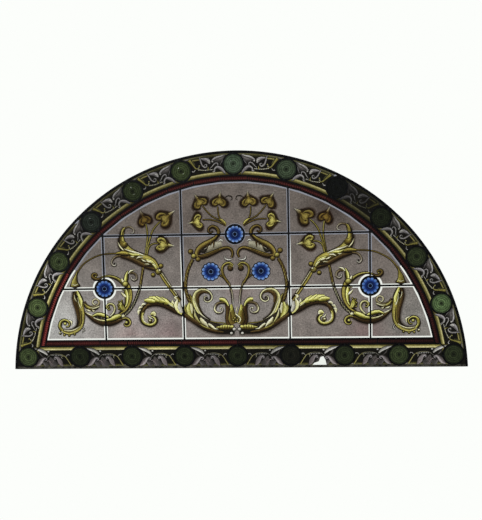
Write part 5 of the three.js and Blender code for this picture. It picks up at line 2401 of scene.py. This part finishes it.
        lay([(-201, 288), (-197, 266), (-196, 244)], (3.4, 6, 2), CREAM, 0.4)
        lay([(-222, 288), (-226, 264), (-218, 240)], (2, 4.4, 2), STAIN, 1.2)

    def calyx(self) -> None:
        """The cup that every scroll springs from, with its curls and knots."""
        lay, ball = self.painting.ribbon, self.painting.ball
        lay(
            [(-30, 194), (-36, 225), (-36, 258), (-42, 284), (-56, 298)],
            (14, 14, 11, 9, 5), UMBER, 2.4, shadow=9,
        )
        lay(
            [(-12, 196), (-18, 215), (-20, 245), (-20, 266), (-20, 284)],
            (15, 19, 14, 9, 2), GOLD, 2.6, STAIN,
        )
        lay([(-22, 282), (-22, 268), (-20, 256)], (4, 7, 3), LEMON, 0.8)
        lay([(-26, 250), (-26, 230), (-24, 210)], (2, 4, 2), RUST, 0.4)
        for x, z in ((-14, 214), (-4, 206), (-8, 222)):
            ball((x, z), 7, BRASS)
        lay([(-36, 276), (-44, 292), (-58, 303), (-74, 306)], (5, 8, 11, 8), LEMON, 2.8, lit=-1, shadow=4)
        lay(
            [(-50, 290), (-70, 291), (-86, 284), (-95, 268), (-92, 253), (-80, 245), (-66, 248), (-60, 260),
             (-67, 270), (-77, 268)],
            (4, 5, 6, 6.4, 6, 5.4, 5, 4.6, 4, 2), UMBER, 1.6, SILVER, shadow=5,
        )
        lay([(-92, 280), (-97, 262), (-88, 249), (-72, 247)], (1.6, 3.4, 3.4, 2), CREAM, 0.8)
        ball((-71, 266), 4.4, CREAM, 1.2)
        ball((-24, 154), 9, SILVER)
        ball((-11, 172), 10, SILVER)

    def flowers(self) -> None:
        """The rosettes' petals and the two enamel flowers on the middle pane."""
        radius = self.leading.rosette_ring_radius - 1.0
        for node, pale in (
            ("rosette_left", "6483bd"), ("rosette_right", "6483bd"), ("rosette_top", "8aa8dc"),
        ):
            self.painting.flower(self.leading.centre_of(node), radius, petals=12, turn=4.0, pale=pale)
        for x in (-108.9, 110.6):
            self.painting.flower((x, 428.3), 43.0, petals=12, turn=8.0)

    def paint(self) -> None:
        """Paints both halves, and the flowers over them."""
        self.painting.swell = self.fullness
        for sense in (1.0, -1.0):
            self.painting.place = lambda p, sense=sense: p * (sense, 1.0)
            self.painting.light = LIGHT_FROM * (sense, 1.0)
            for part in (
                self.long_stems, self.side_ring, self.outer_trunk, self.bowl, self.inner_trunk,
                self.upper_acanthus,
                self.side_buds, self.top_buds, self.top_scroll, self.middle_stems, self.big_leaf,
                self.main_acanthus,
                self.calyx,
            ):
                part()
        self.painting.reset()
        self.painting.ribbon(
            [(-6, 248), (-2, 238), (10, 228), (17, 216), (12, 203), (0, 199)],
            (2, 4, 4, 4, 3.4, 1.6), CREAM, 1.2,
        )
        self.painting.ribbon([(4, 272), (1, 262), (0, 252)], (3.4, 4.4, 1.4), CREAM, 1.2)
        self.flowers()


# Studio


@dataclass
class Studio:
    """The camera, the light, the bright backdrop and the floor."""

    target: tuple[float, float, float] = (24.4, 0.0, 477.6)
    distance: float = 4000.0
    azimuth: float = 4.05
    elevation: float = 6.1
    roll: float = -1.24
    focal_pixels: float = 919.1
    image_width: int = 482
    sensor: float = 36.0
    backdrop: str = "fcfefb"
    dim_light: float = 0.09
    floor_reach: float = 6.0
    lamp_size: float = 1.6
    lamp_power: float = 60.0
    lamp_place: tuple[float, float, float] = (-2.6, -3.0, 3.4)
    lamp_target: tuple[float, float, float] = (0.0, 0.0, 0.4)

    def camera(self) -> None:
        """Sets the camera where the photograph was taken."""
        az, el, roll = (math.radians(v) for v in (self.azimuth, self.elevation, self.roll))
        ahead = Vector((-math.sin(az) * math.cos(el), math.cos(az) * math.cos(el), -math.sin(el)))
        right = Vector((math.cos(az), math.sin(az), 0))
        up = right.cross(ahead)
        level = (right * math.cos(roll) + up * math.sin(roll), up * math.cos(roll) - right * math.sin(roll))
        lens = bpy.data.cameras.new("camera")
        lens.sensor_fit = "HORIZONTAL"
        lens.sensor_width = self.sensor
        lens.lens = self.sensor * self.focal_pixels / self.image_width
        eye = bpy.data.objects.new("camera", lens)
        place = (Vector(self.target) - ahead * self.distance) * MM
        turn = Matrix((level[0], level[1], -ahead)).transposed().to_4x4()
        eye.matrix_world = Matrix.Translation(place) @ turn
        bpy.context.scene.collection.objects.link(eye)
        bpy.context.scene.camera = eye

    def glow(self, tree: bpy.types.NodeTree, emitter: bpy.types.Node) -> None:
        """Makes an emitter bright where it is seen, also through glass, and dim as a light.

        Args:
            tree: the node tree.
            emitter: its Background or Emission node.
        """
        path = add_node(tree, "ShaderNodeLightPath")
        seen = add_node(
            tree, "ShaderNodeMath",
            {0: path.outputs["Is Camera Ray"], 1: path.outputs["Is Transmission Ray"]}, operation="MAXIMUM",
        )
        strength = add_node(
            tree, "ShaderNodeMapRange",
            {"Value": seen.outputs["Value"], "To Min": self.dim_light, "To Max": 1.0},
        )
        tree.links.new(strength.outputs["Result"], emitter.inputs["Strength"])
        emitter.inputs["Color"].default_value = (*linear(self.backdrop), 1.0)

    def surroundings(self) -> None:
        """Makes the bright backdrop and the floor that meets it without a seam."""
        world = bpy.data.worlds.new("bright_backdrop")
        world.use_nodes = True
        bpy.context.scene.world = world
        self.glow(world.node_tree, world.node_tree.nodes["Background"])
        paper = bpy.data.materials.new("pale_lit_floor")
        paper.use_nodes = True
        tree = paper.node_tree
        tree.nodes.remove(tree.nodes["Principled BSDF"])
        emitter = add_node(tree, "ShaderNodeEmission")
        tree.links.new(emitter.outputs["Emission"], tree.nodes["Material Output"].inputs["Surface"])
        self.glow(tree, emitter)
        mesh = bpy.data.meshes.new("floor")
        corners = box_outline(-self.floor_reach, -self.floor_reach, self.floor_reach, self.floor_reach)
        mesh.from_pydata([(x, y, -MM) for x, y in corners], [], [(0, 1, 2, 3)])
        mesh.materials.append(paper)
        floor = bpy.data.objects.new("floor", mesh)
        bpy.context.scene.collection.objects.link(floor)

    def light(self) -> None:
        """Sets one large soft light high in front on the left, out of the glass's mirror image."""
        lamp = bpy.data.lights.new("soft_light", "AREA")
        lamp.shape = "SQUARE"
        lamp.size = self.lamp_size
        lamp.energy = self.lamp_power
        holder = bpy.data.objects.new("soft_light", lamp)
        place = Vector(self.lamp_place)
        aim = Vector(self.lamp_target) - place
        holder.matrix_world = Matrix.Translation(place) @ aim.to_track_quat("-Z", "Y").to_matrix().to_4x4()
        bpy.context.scene.collection.objects.link(holder)

    def build(self) -> None:
        """Sets everything up."""
        bpy.context.scene.view_settings.view_transform = "Standard"
        self.camera()
        self.surroundings()
        self.light()


def main() -> None:
    """Builds the window and its setting."""
    logging.basicConfig(level=logging.INFO, format="%(message)s")
    Studio().build()
    leading = Leading()
    finishes = Finishes()
    finishes.make()
    painting = Painting()
    net = LeadNet(leading, finishes)
    BorderOrnament(leading, painting).paint()
    RubyBeads(leading, painting).paint(net)
    Scrollwork(leading, painting).paint()
    net.build()
    Roundels(leading, finishes).build()
    Glazing(leading, finishes, painting.finished()).build(net)


if __name__ == "__main__":
    main()
